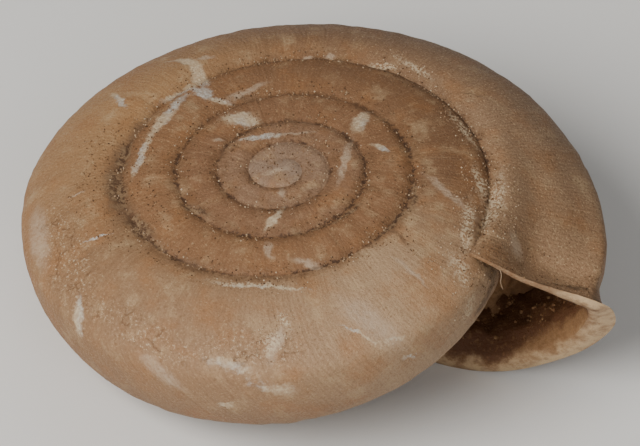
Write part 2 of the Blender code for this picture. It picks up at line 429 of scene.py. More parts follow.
    def hollow_line(self, t: float) -> Array:
        """The hollow's outer wall, from its upper to its lower corner.

        Args:
            t: the whorl.

        Returns:
            As many points as a section has.
        """
        behind = self.section(self.before(t))
        upper, lower = behind[self.cuts.upper], behind[self.cuts.lower]
        crown, side, base = self.landmarks(t)
        thick = self.wall(t)
        inner_side = (side[0] - thick, side[1])
        inner_base = (base[0], base[1] + thick)
        crown_r = max(crown[0], upper[0] + self.hollow_crown * (inner_side[0] - upper[0]))
        inner_crown = (crown_r, crown[1] - thick)
        line = np.concatenate([
            self.quarter(upper, inner_crown, True, self.round_pull, self.round_pull),
            self.quarter(inner_crown, inner_side, False, self.round_pull, self.shoulder_pull)[1:],
            self.quarter(inner_side, inner_base, True, self.waist_pull, self.base_pull)[1:],
            self.quarter(inner_base, lower, False, self.round_pull, self.round_pull)[1:],
        ])
        even = np.linspace(0.0, travel(line)[-1], self.cuts.last + 1)
        return self.shape_mouth(read_line(line, even), t, self.inner_edge)

    def tube(self, t: float) -> Array:
        """The hollow's whole outline at a whorl, in space."""
        return self.place(np.concatenate((self.hollow_line(t), self.under(t))), t)

    def place(self, points: Array, t: float, forward: Amount = 0.0) -> Array:
        """Put section points in space.

        Args:
            points: pairs of r and z.
            t: the whorl.
            forward: how far each point is moved out of the mouth.

        Returns:
            One upright x, y, z for each point.
        """
        depth = -self.seam_slope * points[:, 0] - points[:, 1]
        lean = self.lean * (1.0 - np.exp(-depth / self.lean_depth))
        azimuth = FULL_TURN * (self.whorls - t) + lean
        x = points[:, 0] * np.cos(azimuth) + forward * np.sin(azimuth)
        y = points[:, 0] * np.sin(azimuth) - forward * np.cos(azimuth)
        return np.stack((x, y, points[:, 1]), axis=1)

    def curl(self, t: float) -> Array:
        """How far each place of the lip's outer edge curls back."""
        near = max(0.0, (t - self.curl_from) / (self.whorls - self.curl_from)) ** 2
        return self.curl_back * near * hump(self.cuts.shares(), *self.curl_at)


@dataclass(frozen=True)
class RestPose:
    """How the shell lies on a table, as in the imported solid."""

    tilt: float = math.radians(11.4)
    towards: float = math.radians(-152.0)
    tip_at: Triple = (-2.26959, -1.37591, 10.96340)

    def turn(self) -> Matrix:
        """The tilt as a rotation."""
        axis = Vector((-math.sin(self.towards), math.cos(self.towards), 0.0))
        return Matrix.Rotation(self.tilt, 3, axis)

    def lay(self, points: Array) -> Array:
        """Upright millimetres to metres in the row frame."""
        return (points @ np.array(self.turn()).T + np.array(self.tip_at)) * MM


def link(name: str, data: bpy.types.ID) -> bpy.types.Object:
    """Put a mesh, light or camera in the scene.

    Args:
        name: what the object is called.
        data: the mesh, light or camera.

    Returns:
        The object.
    """
    made = bpy.data.objects.new(name, data)
    bpy.context.scene.collection.objects.link(made)
    return made


def make_piece(name: str, points: Array, faces: list) -> bpy.types.Object:
    """Lay upright points in the row frame and make an object of them.

    Args:
        name: what the object and its mesh are called.
        points: places in millimetres, one row each.
        faces: point numbers of each face.

    Returns:
        The object.
    """
    mesh = bpy.data.meshes.new(name)
    mesh.from_pydata(RestPose().lay(points).tolist(), [], faces)
    return link(name, mesh)


def write_values(mesh: bpy.types.Mesh, name: str, domain: str, values: Array) -> None:
    """Keep values on a mesh for its finish.

    Args:
        mesh: the mesh.
        name: what the finish calls them.
        domain: POINT or CORNER.
        values: a number, or three, for each point or corner.
    """
    kind, slot = ("FLOAT", "value") if values.ndim == 1 else ("FLOAT_VECTOR", "vector")
    layer = mesh.attributes.new(name, kind, domain)
    layer.data.foreach_set(slot, np.ascontiguousarray(values, dtype=np.float32).ravel())


@dataclass(frozen=True)
class Ripple:
    """A soft random field made of plain waves."""

    seed: int
    longest: float
    shortest: float
    waves: int = 28

    def at(self, points: Array) -> Array:
        """The field's value.

        Args:
            points: places in millimetres, one row each.

        Returns:
            Values around 0, mostly within -1 and 1.
        """
        draw = np.random.default_rng(self.seed)
        ways = unit(draw.normal(size=(self.waves, points.shape[1])))
        spread = draw.uniform(math.log(self.shortest), math.log(self.longest), self.waves)
        phases = draw.uniform(0.0, FULL_TURN, self.waves)
        total = np.zeros(len(points))
        for way, length, phase in zip(ways, np.exp(spread), phases):
            total += np.sin(points @ way * (FULL_TURN / length) + phase)
        return total / math.sqrt(self.waves)


@dataclass(frozen=True)
class Row:
    """Numbers of the points along one row of the skin, and of their records."""

    points: Array
    records: Array

    def part(self, start: int, end: int) -> "Row":
        """The stretch between two places."""
        return Row(self.points[start:end + 1], self.records[start:end + 1])

    def closed(self) -> "Row":
        """The row with its first place again at the end."""
        return Row(np.append(self.points, self.points[0]), np.append(self.records, self.records[0]))


@dataclass
class Records:
    """What the finish needs to know at each corner of the skin's faces."""

    growth: list[Array] = field(default_factory=list)
    stage: list[Array] = field(default_factory=list)
    mouth: list[Array] = field(default_factory=list)
    count: int = 0

    def add(self, growth: Array, stage: Array, mouth: Array) -> Array:
        """Keep a row of records.

        Args:
            growth: length grown, distance across the whorl, and distance to a seam.
            stage: the whorl.
            mouth: distance behind the lip, depth inside, and share of the section.

        Returns:
            The records' numbers.
        """
        self.growth.append(growth)
        self.stage.append(stage)
        self.mouth.append(mouth)
        self.count += len(stage)
        return np.arange(self.count - len(stage), self.count)

    def joined(self) -> tuple[Array, Array, Array]:
        """All growth, stage and mouth records."""
        return tuple(np.concatenate(rows) for rows in (self.growth, self.stage, self.mouth))


@dataclass
class Skin:
    """The shell's skin and hollow as one closed mesh on a fine grid."""

    law: GrowthLaw = field(default_factory=GrowthLaw)
    first_turn: float = 0.05
    groove: float = 0.075
    groove_width: float = 0.19
    groove_fade: Pair = (4.97, 5.0)
    wrinkle: float = 0.010
    wrinkles: Ripple = Ripple(13, 2.6, 0.7)
    uneven: float = 0.6
    dent: float = 0.020
    dents: Ripple = Ripple(11, 9.0, 2.5)
    pit: float = 0.009
    pits: Ripple = Ripple(12, 1.2, 0.5, 40)
    smooth_tip: Pair = (0.1, 1.2)
    rim: float = 0.6
    crust: float = 0.20
    crust_rough: float = 0.16
    crust_from: Pair = (0.5, 1.8)
    crust_lumps: Ripple = Ripple(14, 1.6, 0.45, 44)
    sharp_angle: float = math.radians(50.0)
    points: list[Array] = field(default_factory=list)
    quads: list[Array] = field(default_factory=list)
    quad_records: list[Array] = field(default_factory=list)
    records: Records = field(default_factory=Records)
    point_count: int = 0
    grown_in_all: float = 0.0
    across_mouth: float = 0.0

    def add(self, points: Array) -> Array:
        """Keep points.

        Args:
            points: upright places, one row each.

        Returns:
            Their numbers.
        """
        self.points.append(points)
        self.point_count += len(points)
        return np.arange(self.point_count - len(points), self.point_count)

    def strip(self, first: Row, second: Row) -> None:
        """Keep the faces between two rows.

        Args:
            first: one row.
            second: the next row.
        """
        for kept, a, b in ((self.quads, first.points, second.points),
                           (self.quad_records, first.records, second.records)):
            kept.append(np.stack((a[:-1], b[:-1], b[1:], a[1:]), axis=1))

    def stages(self) -> list[float]:
        """The rows of the skin.

        Returns:
            The whorl at each row, from tip to mouth.
        """
        shares = self.law.cuts.turn_shares()
        per_turn = self.law.cuts.per_turn
        total = self.law.whorls * per_turn
        return [round(float(n // per_turn + shares[n % per_turn]), 9) for n in range(total + 1)]

    def lie(self, stages: list[float]) -> tuple[Array, Array, Array]:
        """Lay every section out in space.

        Args:
            stages: the whorl of each row.

        Returns:
            The grid of points, the distances along each section, and the length grown.
        """
        law = self.law
        sections = [law.section(t) for t in stages]
        grid = np.array([law.place(line, t, -law.curl(t)) for line, t in zip(sections, stages)])
        across = np.array([travel(line) for line in sections])
        middle = [(law.seam_radius(t) + max(0.0, law.seam_radius(t - 1.0))) / 2.0 for t in stages]
        steps = np.diff(stages) * FULL_TURN * (np.array(middle[1:]) + np.array(middle[:-1])) / 2.0
        return grid, across, np.concatenate(([0.0], np.cumsum(steps)))

    def seam_distance(self, stages: Array, across: Array) -> Array:
        """Distance to the nearest seam, along the section.

        Args:
            stages: the whorl of each row.
            across: the distances along each section.

        Returns:
            The distance of each grid point.
        """
        seam = self.law.cuts.seam
        has_inner = (stages > 1.0)[:, None]
        inner = np.where(has_inner, across, FAR_FROM_SEAM)
        navel = np.where(has_inner, across[:, -1:] - across, FAR_FROM_SEAM)
        fade = smooth(stages, *self.groove_fade)[:, None]
        outer = np.abs(across - across[:, seam: seam + 1]) + FAR_FROM_SEAM * fade
        return np.minimum(np.minimum(inner, navel), outer)

    def relief(self, grid: Array, grown: Array, seam: Array) -> Array:
        """Growth wrinkles, dents, pits and sunken seams.

        Args:
            grid: the smooth grid of points.
            grown: the length grown at each row.
            seam: the distance to the nearest seam at each point.

        Returns:
            The grid with its relief.
        """
        flat = grid.reshape(-1, 3)
        dents = self.dents.at(flat).reshape(seam.shape)
        pits = self.pits.at(flat).reshape(seam.shape)
        lines = self.wrinkles.at(grown[:, None])[:, None] * (1.0 + self.uneven * dents)
        height = self.wrinkle * lines + self.dent * dents + self.pit * pits
        height = height - self.groove * np.exp(-(seam / self.groove_width) ** 2)
        normals = unit(np.cross(np.gradient(grid, axis=0), np.gradient(grid, axis=1)))
        small = smooth(np.linalg.norm(grid[:, :, :2], axis=2), *self.smooth_tip)
        return grid + normals * (height * small)[:, :, None]

    def cover(self) -> tuple[Row, Row]:
        """Build the outer skin.

        Returns:
            The row under the mouth and the mouth's outer edge.
        """
        cuts, law = self.law.cuts, self.law
        stages = self.stages()
        when = np.array(stages)
        grid, across, grown = self.lie(stages)
        seam = self.seam_distance(when, across)
        shaped = self.relief(grid, grown, seam)
        behind = np.where(when > law.drop_from, grown[-1] - grown, FAR_FROM_MOUTH)
        self.grown_in_all, self.across_mouth = grown[-1], across[-1][-1]
        tip = self.add(np.array(((0.0, 0.0, 0.0), (0.0, 0.0, -law.navel_top))))
        places, ones, share = np.arange(cuts.last + 1), np.ones(cuts.last + 1), cuts.shares()
        rows: list[Row] = []
        for n, t in enumerate(stages):
            records = self.records.add(
                np.stack((ones * grown[n], across[n], seam[n]), axis=1), ones * t,
                np.stack((ones * behind[n], ones * 0.0, share), axis=1))
            if t <= self.first_turn:
                rows.append(Row(np.where(places <= cuts.seam, tip[0], tip[1]), records))
                continue
            row = np.full(cuts.last + 1, -1)
            under = rows[max(0, n - cuts.per_turn)].points
            row[0], row[-1] = under[cuts.seam], under[cuts.inner_seam]
            shown = (places > 0) & (places < cuts.last)
            if t < law.whorls - 1:
                shown &= (places <= cuts.seam) | (places >= cuts.inner_seam)
            row[shown] = self.add(shaped[n][shown])
            rows.append(Row(row, records))
        parted = ((0, cuts.seam), (cuts.inner_seam, cuts.last))
        for t, first, second in zip(stages, rows, rows[1:]):
            for start, end in ((0, cuts.last),) if t >= law.whorls - 1 else parted:
                self.strip(first.part(start, end), second.part(start, end))
        return rows[(law.whorls - 1) * cuts.per_turn], rows[-1]

    def mouth_records(self, depth: float, count: int, t: float) -> Array:
        """Records for a row on the lip or inside.

        Args:
            depth: how far inside the row lies.
            count: points in the row.
            t: the whorl.

        Returns:
            The records' numbers.
        """
        ones = np.ones(count)
        outer = self.law.cuts.shares()
        share = np.concatenate((outer, np.linspace(1.0, 0.0, count - len(outer) + 2)[1:-1]))
        grown = ones * (self.grown_in_all - depth)
        growth = np.stack((grown, share * self.across_mouth, ones * FAR_FROM_SEAM), axis=1)
        mouth = np.stack((ones * 0.0, ones * depth, share), axis=1)
        return self.records.add(growth, ones * t, mouth)

    def lip(self, under: Row, edge: Row) -> Row:
        """Round the lip over to the hollow.

        Args:
            under: the row of the whorl under the mouth.
            edge: the mouth's outer edge.

        Returns:
            The hollow's first ring.
        """
        cuts, law = self.law.cuts, self.law
        t = float(law.whorls)
        outer, inner, back = law.section(t), law.hollow_line(t), -law.curl(t)
        previous = edge
        for cut in range(1, cuts.corner + 1):
            share = cut / cuts.corner
            forward = law.lip_round * math.sin(math.pi * share) + back * (1.0 - share)
            middle = self.add(law.place(outer + (inner - outer) * share, t, forward)[1:-1])
            ends = under.points[[cuts.seam + cut, cuts.inner_seam - cut]]
            points = np.concatenate((ends[:1], middle, ends[1:]))
            current = Row(points, self.mouth_records(self.rim * share, len(points), t))
            self.strip(previous, current)
            previous = current
        ring = np.concatenate((previous.points, under.points[cuts.lower - 1: cuts.upper: -1]))
        return Row(ring, self.mouth_records(self.rim, len(ring), t))

    def hollow(self, ring: Row) -> None:
        """Carry the hollow inwards, with a soil crust, to a rounded end.

        Args:
            ring: the hollow's first ring.
        """
        cuts, law = self.law.cuts, self.law
        middle_radius = law.seam_radius(law.whorls - 1.0) + law.side_reach
        for step in range(1, cuts.hollow_rings + 1):
            turned = law.hollow_whorls * (step / cuts.hollow_rings) ** law.hollow_spacing
            depth = turned * FULL_TURN * middle_radius
            t = round(law.whorls - turned, 9)
            points = law.tube(t)
            centre = points.mean(axis=0)
            height = np.maximum(self.crust + self.crust_rough * self.crust_lumps.at(points), 0.0)
            height *= smooth(depth, *self.crust_from)
            points = points + unit(centre - points) * height[:, None]
            records = self.mouth_records(self.rim + depth, len(points), t)
            deeper = Row(self.add(points), records)
            self.strip(ring.closed(), deeper.closed())
            ring = deeper
        last = ring.closed()
        end = np.full(len(last.points), self.add(centre[None, :])[0])
        self.strip(last, Row(end, last.records))

    def build(self) -> bpy.types.Object:
        """Write the mesh, with what the finish reads from it.

        Returns:
            The shell's object.
        """
        self.hollow(self.lip(*self.cover()))
        upright = np.concatenate(self.points)
        quads, corners = np.concatenate(self.quads), np.concatenate(self.quad_records)
        faces, used = [], []
        for quad, corner in zip(quads.tolist(), corners.tolist()):
            kept = dict(zip(quad, corner))
            if len(kept) > 2:
                faces.append(list(kept))
                used.extend(kept.values())
        shell = make_piece("worn_shell", upright, faces)
        mesh = shell.data
        write_values(mesh, "upright", "POINT", upright)
        for name, values in zip(("growth", "stage", "mouth"), self.records.joined()):
            write_values(mesh, name, "CORNER", values[np.array(used)])
        mesh.shade_smooth()
        mesh.set_sharp_from_angle(angle=self.sharp_angle)
        return shell


class MarkKind(Enum):
    """What a mark on the skin is made of."""

    CHALK = "bare chalky patch"
    FAINT = "soft pale bloom"
    GRAINY = "pale speckled dust"
    # Soil stains; the broad ones beside the outer seam at the left are partly painted shade of the
    # trough there.
    STAIN_AND_SHADE = "soil stain"
    CAKED = "dried soil"
    CRAZED = "weathered skin with fine cracks"


@dataclass(frozen=True)
class Mark:
    """A worn or dirty place on the skin, between two points; a few dark ones are partly painted
    shade.
    """

    start: Triple
    end: Triple
    half_width: float
    least_depth: float = 0.55

    def centre(self) -> Vector:
        """Its middle."""
        return (Vector(self.start) + Vector(self.end)) / 2.0

    def turn(self) -> Triple:
        """Its direction, as turns about the three axes."""
        way = Vector(self.end) - Vector(self.start)
        return 0.0, -math.atan2(way.z, math.hypot(way.x, way.y)), math.atan2(way.y, way.x)

    def reach(self) -> Triple:
        """How far it goes from its middle each way."""
        half = (Vector(self.end) - Vector(self.start)).length / 2.0
        return half + self.half_width, self.half_width, max(self.half_width, self.least_depth)

    def closeness(self, points: Array) -> Array:
        """How close points are to its middle line.

        Args:
            points: upright places, one row each.

        Returns:
            1 on the line, falling over its half width.
        """
        start, way = np.array(self.start), np.array(self.end) - np.array(self.start)
        share = np.clip((points - start) @ way / (way @ way), 0.0, 1.0)
        away = np.linalg.norm(points - start - share[:, None] * way, axis=1)
        return np.exp(-(away / self.half_width) ** 2)


def marks_of(*rows: tuple[float, ...]) -> tuple[Mark, ...]:
    """Marks from rows of start, end and half width."""
    return tuple(Mark(row[:3], row[3:6], row[6]) for row in rows)


MARKS: dict[MarkKind, tuple[Mark, ...]] = {
    MarkKind.CHALK: marks_of(
        (-8.7, 5.5, -0.9, -7.2, 4.5, -0.7, 0.30), (-9.3, 5.5, -1.0, -8.4, 5.3, -0.8, 0.26),
        (-7.9, 4.9, -0.8, -7.1, 4.2, -0.7, 0.36), (-6.7, 3.6, -0.6, -6.2, 3.1, -0.5, 0.34),
        (-7.2, 4.5, -0.7, -8.2, 2.4, -0.8, 0.24), (-7.4, 3.6, -0.6, -6.0, 3.0, -0.4, 0.28),
        (-6.0, 3.0, -0.4, -5.1, 3.1, -0.3, 0.20), (-7.4, 2.8, -0.5, -7.35, -0.4, -0.5, 0.32),
        (-7.35, -0.4, -0.5, -6.6, -3.2, -0.5, 0.22), (-4.2, 2.2, -0.2, -3.3, 2.4, -0.1, 0.48),
        (-2.8, 1.0, -0.1, -1.4, 2.1, 0.0, 0.17), (1.7, 4.4, -0.1, 1.5, 5.3, -0.2, 0.36),
        (3.2, 3.6, -0.1, 3.8, 3.6, -0.2, 0.18), (1.5, -3.9, -0.1, 1.5, -2.5, -0.1, 0.20),
        (-11.3, 2.2, -1.4, -9.8, 1.1, -0.8, 0.16), (2.9, -11.5, -2.1, 6.4, -10.3, -3.6, 0.32),
        (-5.2, -10.8, -2.0, -4.7, -11.8, -3.1, 0.25), (1.4, -8.05, -0.5, 5.2, -6.55, -0.5, 0.09),
        (7.8, -7.2, -1.3, 9.5, -6.8, -2.3, 0.06), (9.5, -6.8, -2.3, 10.3, -5.6, -2.7, 0.06),
        (10.3, -5.6, -2.7, 10.4, -5.1, -4.0, 0.06), (-6.6, -8.0, -1.0, -5.5, -7.3, -0.7, 0.06),
        (3.1, -11.6, -4.6, 3.6, -11.4, -4.8, 0.08)),
    MarkKind.FAINT: marks_of(
        (-10.0, 5.3, -1.3, -8.7, 5.6, -0.9, 0.18), (-5.2, 3.2, -0.3, -4.1, 5.3, -0.3, 0.26),
        (-8.5, 5.8, -0.9, -7.8, 6.2, -0.8, 0.17), (-4.1, 0.3, -0.1, -3.7, 0.5, -0.1, 0.14),
        (-1.4, 2.1, 0.0, 0.2, 3.1, -0.1, 0.13), (1.9, 3.5, -0.1, 3.1, 0.3, 0.0, 0.24),
        (7.9, -2.6, -0.5, 10.1, -3.0, -1.4, 0.17), (6.4, 3.0, -0.4, 9.6, 2.1, -1.1, 0.26),
        (11.4, 2.4, -1.8, 12.9, 1.9, -2.8, 0.45), (2.1, -4.8, -0.2, 2.7, -5.4, -0.2, 0.26),
        (3.8, -5.1, -0.3, 5.0, -4.9, -0.5, 0.26), (-2.8, 8.8, -0.9, -2.5, 9.0, -0.9, 0.17),
        (-3.7, 8.2, -0.9, -3.4, 8.4, -0.9, 0.17), (7.6, -6.2, -0.9, 9.8, -6.1, -2.4, 0.85),
        (-0.5, -12.3, -2.6, 1.3, -12.3, -3.8, 0.45), (5.3, -8.8, -1.2, 5.4, -10.2, -1.9, 0.36),
        (-10.4, -6.4, -2.1, -8.4, -9.0, -2.3, 0.75), (-8.9, -5.6, -1.1, -8.4, -5.0, -0.8, 0.08),
        (-0.5, -0.6, 0.0, 0.2, 0.1, 0.0, 0.26), (0.7, -1.2, 0.0, 1.2, -1.7, 0.0, 0.20)),
    MarkKind.GRAINY: marks_of(
        (-0.6, 9.4, -1.0, 0.7, 9.7, -1.0, 0.20), (0.3, 10.4, -1.0, 2.5, 9.8, -1.0, 0.26),
        (4.8, 8.0, -0.9, 7.1, 6.6, -1.1, 0.26), (8.0, 5.1, -0.9, 9.4, 3.5, -1.1, 0.32),
        (9.2, 5.4, -1.3, 10.9, 1.8, -1.6, 0.42), (9.1, 2.7, -0.9, 10.3, 0.0, -1.2, 0.34),
        (9.9, 3.1, -1.3, 10.9, 1.4, -1.5, 0.30), (10.3, -0.8, -1.3, 11.2, -1.4, -2.6, 0.55),
        (11.2, -1.4, -2.6, 11.3, -1.8, -3.7, 0.50), (0.9, -8.1, -0.5, 5.3, -6.5, -0.5, 0.18),
        (10.9, 0.9, -1.4, 10.9, 2.2, -1.6, 0.26), (5.2, -9.3, -1.4, 5.2, -9.9, -1.7, 0.34),
        (4.9, -8.3, -0.8, 5.6, -8.6, -1.0, 0.20)),
    MarkKind.STAIN_AND_SHADE: marks_of(
        # The broad marks near x -8, along the outer seam at the left, are soil and partly painted
        # shade of the trough beside it.
        (-7.1, -4.5, -0.6, -8.3, -1.4, -0.7, 0.78), (-7.3, -4.3, -0.6, -5.1, -6.2, -0.6, 0.78),
        (-5.1, -6.2, -0.6, -2.7, -7.0, -0.5, 0.42), (-1.5, -7.4, -0.6, 0.1, -7.6, -0.5, 0.36),
        (4.2, 9.4, -1.1, 5.5, 10.1, -1.3, 0.10), (1.4, 8.8, -0.8, 4.8, 8.8, -1.1, 0.22),
        (9.4, 3.0, -1.1, 10.5, 0.7, -1.4, 0.26), (-5.4, 3.5, -0.3, -3.7, 4.2, -0.3, 0.30),
        (-8.3, -1.4, -0.7, -8.3, 1.1, -0.7, 0.36), (6.3, -0.6, -0.3, 8.5, -1.7, -0.6, 0.16),
        (1.8, -7.1, -0.5, 4.7, -6.0, -0.5, 0.18), (-2.9, -4.1, -0.2, -1.5, -4.4, -0.2, 0.26),
        (13.3, 0.9, -2.6, 15.1, 2.3, -3.7, 0.28), (12.9, 2.8, -3.2, 14.2, 2.1, -3.3, 0.35),
        (15.1, 3.9, -4.7, 15.9, 3.0, -4.5, 0.22)),
    MarkKind.CAKED: marks_of(
        (11.2, 0.0, -1.7, 11.6, 0.8, -3.1, 0.44), (11.6, 0.8, -3.1, 11.3, 0.3, -4.2, 0.42),
        (11.3, 0.1, -4.1, 11.3, -0.8, -4.3, 0.22), (-3.1, -4.3, -0.2, -1.6, -4.3, -0.1, 0.15),
        (6.2, 2.2, -0.3, 6.9, 1.0, -0.4, 0.20), (6.9, 1.0, -0.4, 6.6, -1.6, -0.4, 0.15),
        (4.7, -0.4, -0.1, 4.3, -2.0, -0.1, 0.14), (4.3, -2.0, -0.1, 3.5, -3.0, -0.1, 0.11),
        (-5.3, -5.7, -0.7, -3.8, -6.6, -0.6, 0.50), (-8.1, -1.2, -0.7, -7.6, -3.2, -0.7, 0.30),
        (-7.6, -3.6, -0.7, -6.2, -5.2, -0.7, 0.55), (14.4, 2.6, -4.1, 15.1, 3.2, -4.5, 0.22),
        (13.9, 2.3, -3.8, 14.3, 2.4, -3.9, 0.12), (15.6, 3.0, -4.6, 16.0, 2.8, -4.4, 0.16),
        (-3.5, -6.8, -0.6, -2.2, -7.2, -0.6, 0.13), (8.8, 5.0, -1.2, 10.0, 2.8, -1.3, 0.13),
        (10.0, 2.8, -1.3, 10.7, 0.3, -1.2, 0.26)),
    MarkKind.CRAZED: marks_of(
        (-9.3, -6.6, -1.7, -4.7, -10.6, -2.2, 1.7), (-4.5, -10.6, -2.2, 1.5, -11.6, -2.3, 1.3),
        (1.5, -11.2, -2.2, 6.2, -9.2, -1.8, 1.3)),
}


class Bench:
    """Adds shader nodes to one material and joins them."""

    def __init__(self, name: str) -> None:
        """Make the material with a name."""
        self.material = bpy.data.materials.new(name)
        self.material.use_nodes = True
        self.tree = self.material.node_tree
        self.shader = self.tree.nodes["Principled BSDF"]

    def add(self, kind: str, **settings: object) -> bpy.types.Node:
        """Make a node.

        Args:
            kind: the node's type.
            settings: what is set on it, by name.

        Returns:
            The node.
        """
        node = self.tree.nodes.new(kind)
        for name, value in settings.items():
            setattr(node, name, value)
        return node

    def feed(self, socket: Socket, value: object) -> None:
        """Link a socket, or set it where the value is plain.

        Args:
            socket: the socket to fill.
            value: another socket, or a plain value.
        """
        if isinstance(value, Socket):
            self.tree.links.new(value, socket)
        else:
            socket.default_value = value

    def set(self, name: str, value: object) -> None:
        """Link or set one of the shader's own sockets."""
        self.feed(self.shader.inputs[name], value)

    def read(self, name: str, part: str = "Vector") -> Socket:
        """What the mesh keeps under a name."""
        return self.add("ShaderNodeAttribute", attribute_name=name).outputs[part]

    def split(self, vector: Socket) -> tuple[Socket, ...]:
        """Take a vector apart.

        Args:
            vector: the socket to read.

        Returns:
            Its three parts.
        """
        node = self.add("ShaderNodeSeparateXYZ")
        self.feed(node.inputs[0], vector)
        return tuple(node.outputs)

    def sum_up(self, operation: str, first: object, second: object = 0.0) -> Socket:
        """One step of arithmetic.

        Args:
            operation: the step's name.
            first: a socket or number.
            second: a socket or number.

        Returns:
            The result.
        """
        node = self.add("ShaderNodeMath", operation=operation)
        self.feed(node.inputs[0], first)
        self.feed(node.inputs[1], second)
        return node.outputs[0]

    def plus(self, first: object, second: object) -> Socket:
        """The sum of two values."""
        return self.sum_up("ADD", first, second)

    def minus(self, first: object, second: object) -> Socket:
        """The first value less the second."""
        return self.sum_up("SUBTRACT", first, second)

    def times(self, first: object, second: object) -> Socket:
        """The product of two values."""
        return self.sum_up("MULTIPLY", first, second)

    def swing(self, noise: Socket, far: float) -> Socket:
        """Noise around 0 instead of a half, and stretched."""
        return self.times(self.minus(noise, 0.5), far)

    def vector(self, operation: str, first: object, second: object = (0.0,) * 3,
               scale: float = 1.0) -> Socket:
        """One step of vector arithmetic.

        Args:
            operation: the step's name.
            first: a socket or vector.
            second: a socket or vector.
            scale: the factor, where the step has one.

        Returns:
            The result.
        """
        node = self.add("ShaderNodeVectorMath", operation=operation)
        for socket, value in zip((node.inputs[0], node.inputs[1], node.inputs[3]),
                                 (first, second, scale)):
            self.feed(socket, value)
        return node.outputs[0]

    def ease(self, value: object, low: float, high: float, start: float = 0.0,
             end: float = 1.0) -> Socket:
        """Turn a range of values softly into another.

        Args:
            value: the socket to read.
            low: where the change starts.
            high: where it ends.
            start: result at low and below.
            end: result at high and above.

        Returns:
            The result.
        """
        node = self.add("ShaderNodeMapRange", interpolation_type="SMOOTHSTEP")
        for socket, given in zip(node.inputs, (value, low, high, start, end)):
            self.feed(socket, given)
        return node.outputs[0]

    def blend(self, share: object, first: object, second: object) -> Socket:
        """Mix two colours.

        Args:
            share: how much of the second.
            first: a socket or colour.
            second: a socket or colour.

        Returns:
            The mixed colour.
        """
        node = self.add("ShaderNodeMix", data_type="RGBA")
        for socket, given in zip((node.inputs[0], node.inputs[6], node.inputs[7]),
                                 (share, first, second)):
            self.feed(socket, given)
        return node.outputs[2]

    def cloud(self, place: Socket, scale: float, detail: float = 3.0, rough: float = 0.55,
              part: str = "Fac") -> Socket:
        """Soft noise.

        Args:
            place: where to read it.
            scale: features in a millimetre.
            detail: how many finer layers it has.
            rough: how strong those are.
            part: which output.

        Returns:
            The noise.
        """
        node = self.add("ShaderNodeTexNoise")
        for name, given in (("Vector", place), ("Scale", scale), ("Detail", detail),
                            ("Roughness", rough)):
            self.feed(node.inputs[name], given)
        return node.outputs[part]

    def cracks(self, place: Socket, scale: float) -> Socket:
        """A net of cracks.

        Args:
            place: where to read it.
            scale: meshes of the net in a millimetre.

        Returns:
            The distance from the nearest crack.
        """
        node = self.add("ShaderNodeTexVoronoi", feature="DISTANCE_TO_EDGE")
        self.feed(node.inputs["Vector"], place)
        self.feed(node.inputs["Scale"], scale)
        return node.outputs["Distance"]

    def stretch(self, place: Socket, scale: Triple) -> Socket:
        """A place with each of its three parts scaled."""
        return self.vector("MULTIPLY", place, scale)

    def inside(self, place: Socket, mark: Mark, margin: float) -> Socket:
        """How far inside a mark a place lies.

        Args:
            place: where to read it.
            mark: the mark.
            margin: how far out it is read, in half widths.

        Returns:
            1 in the mark's middle, 0 at the margin.
        """
        node = self.add("ShaderNodeMapping", vector_type="TEXTURE")
        reach = [half * margin for half in mark.reach()]
        for name, given in (("Vector", place), ("Location", mark.centre()),
                            ("Rotation", mark.turn()), ("Scale", reach)):
            self.feed(node.inputs[name], given)
        ball = self.add("ShaderNodeTexGradient", gradient_type="SPHERICAL")
        self.feed(ball.inputs["Vector"], node.outputs[0])
        return ball.outputs["Fac"]

    def patches(self, place: Socket, kind: MarkKind, margin: float = 1.6) -> Socket:
        """Distance from the nearest middle of a mark of a kind, 1 at its rim.

        Args:
            place: where to read it.
            kind: which marks.
            margin: how far out it is read, in half widths.

        Returns:
            The distance.
        """
        first, *others = MARKS[kind]
        deepest = self.inside(place, first, margin)
        for mark in others:
            deepest = self.sum_up("MAXIMUM", deepest, self.inside(place, mark, margin))
        return self.times(self.minus(1.0, deepest), margin)

    def ramp(self, value: Socket, stops: list[tuple[float, Rgb]]) -> Socket:
        """A colour that changes along a value from 0 to 1.

        Args:
            value: the socket to read.
            stops: places and their colours.

        Returns:
            The colour.
        """
        node = self.add("ShaderNodeValToRGB")
        self.feed(node.inputs[0], value)
        bar = node.color_ramp.elements
        for element, (position, rgb) in zip(bar, (stops[0], stops[-1])):
            element.position, element.color = position, tone(rgb)
        for position, rgb in stops[1:-1]:
            bar.new(position).color = tone(rgb)
        return node.outputs[0]

    def roughen(self, height: Socket, strength: float, distance: float) -> None:
        """Give the shader a fine relief.

        Args:
            height: the relief, in steps of distance.
            strength: how strong it shows.
            distance: one step, in metres.
        """
        bump = self.add("ShaderNodeBump")
        for name, given in (("Strength", strength), ("Distance", distance), ("Height", height)):
            self.feed(bump.inputs[name], given)
        self.set("Normal", bump.outputs[0])


@dataclass(frozen=True)
class Tint:
    """A colour that noise brings out between two of its values."""

    low: float
    high: float
    most: float
    rgb: Rgb


@dataclass(frozen=True)
class Mottle:
    """Soft noise on the skin and the tints it brings out; a stretched one follows the growth."""

    detail: float
    rough: float
    tints: tuple[Tint, ...]
    scale: float = 1.0
    stretch: Triple | None = None


WARM: Rgb = (144, 98, 58)
PALE: Rgb = (186, 160, 122)
BROWN: Rgb = (98, 68, 42)


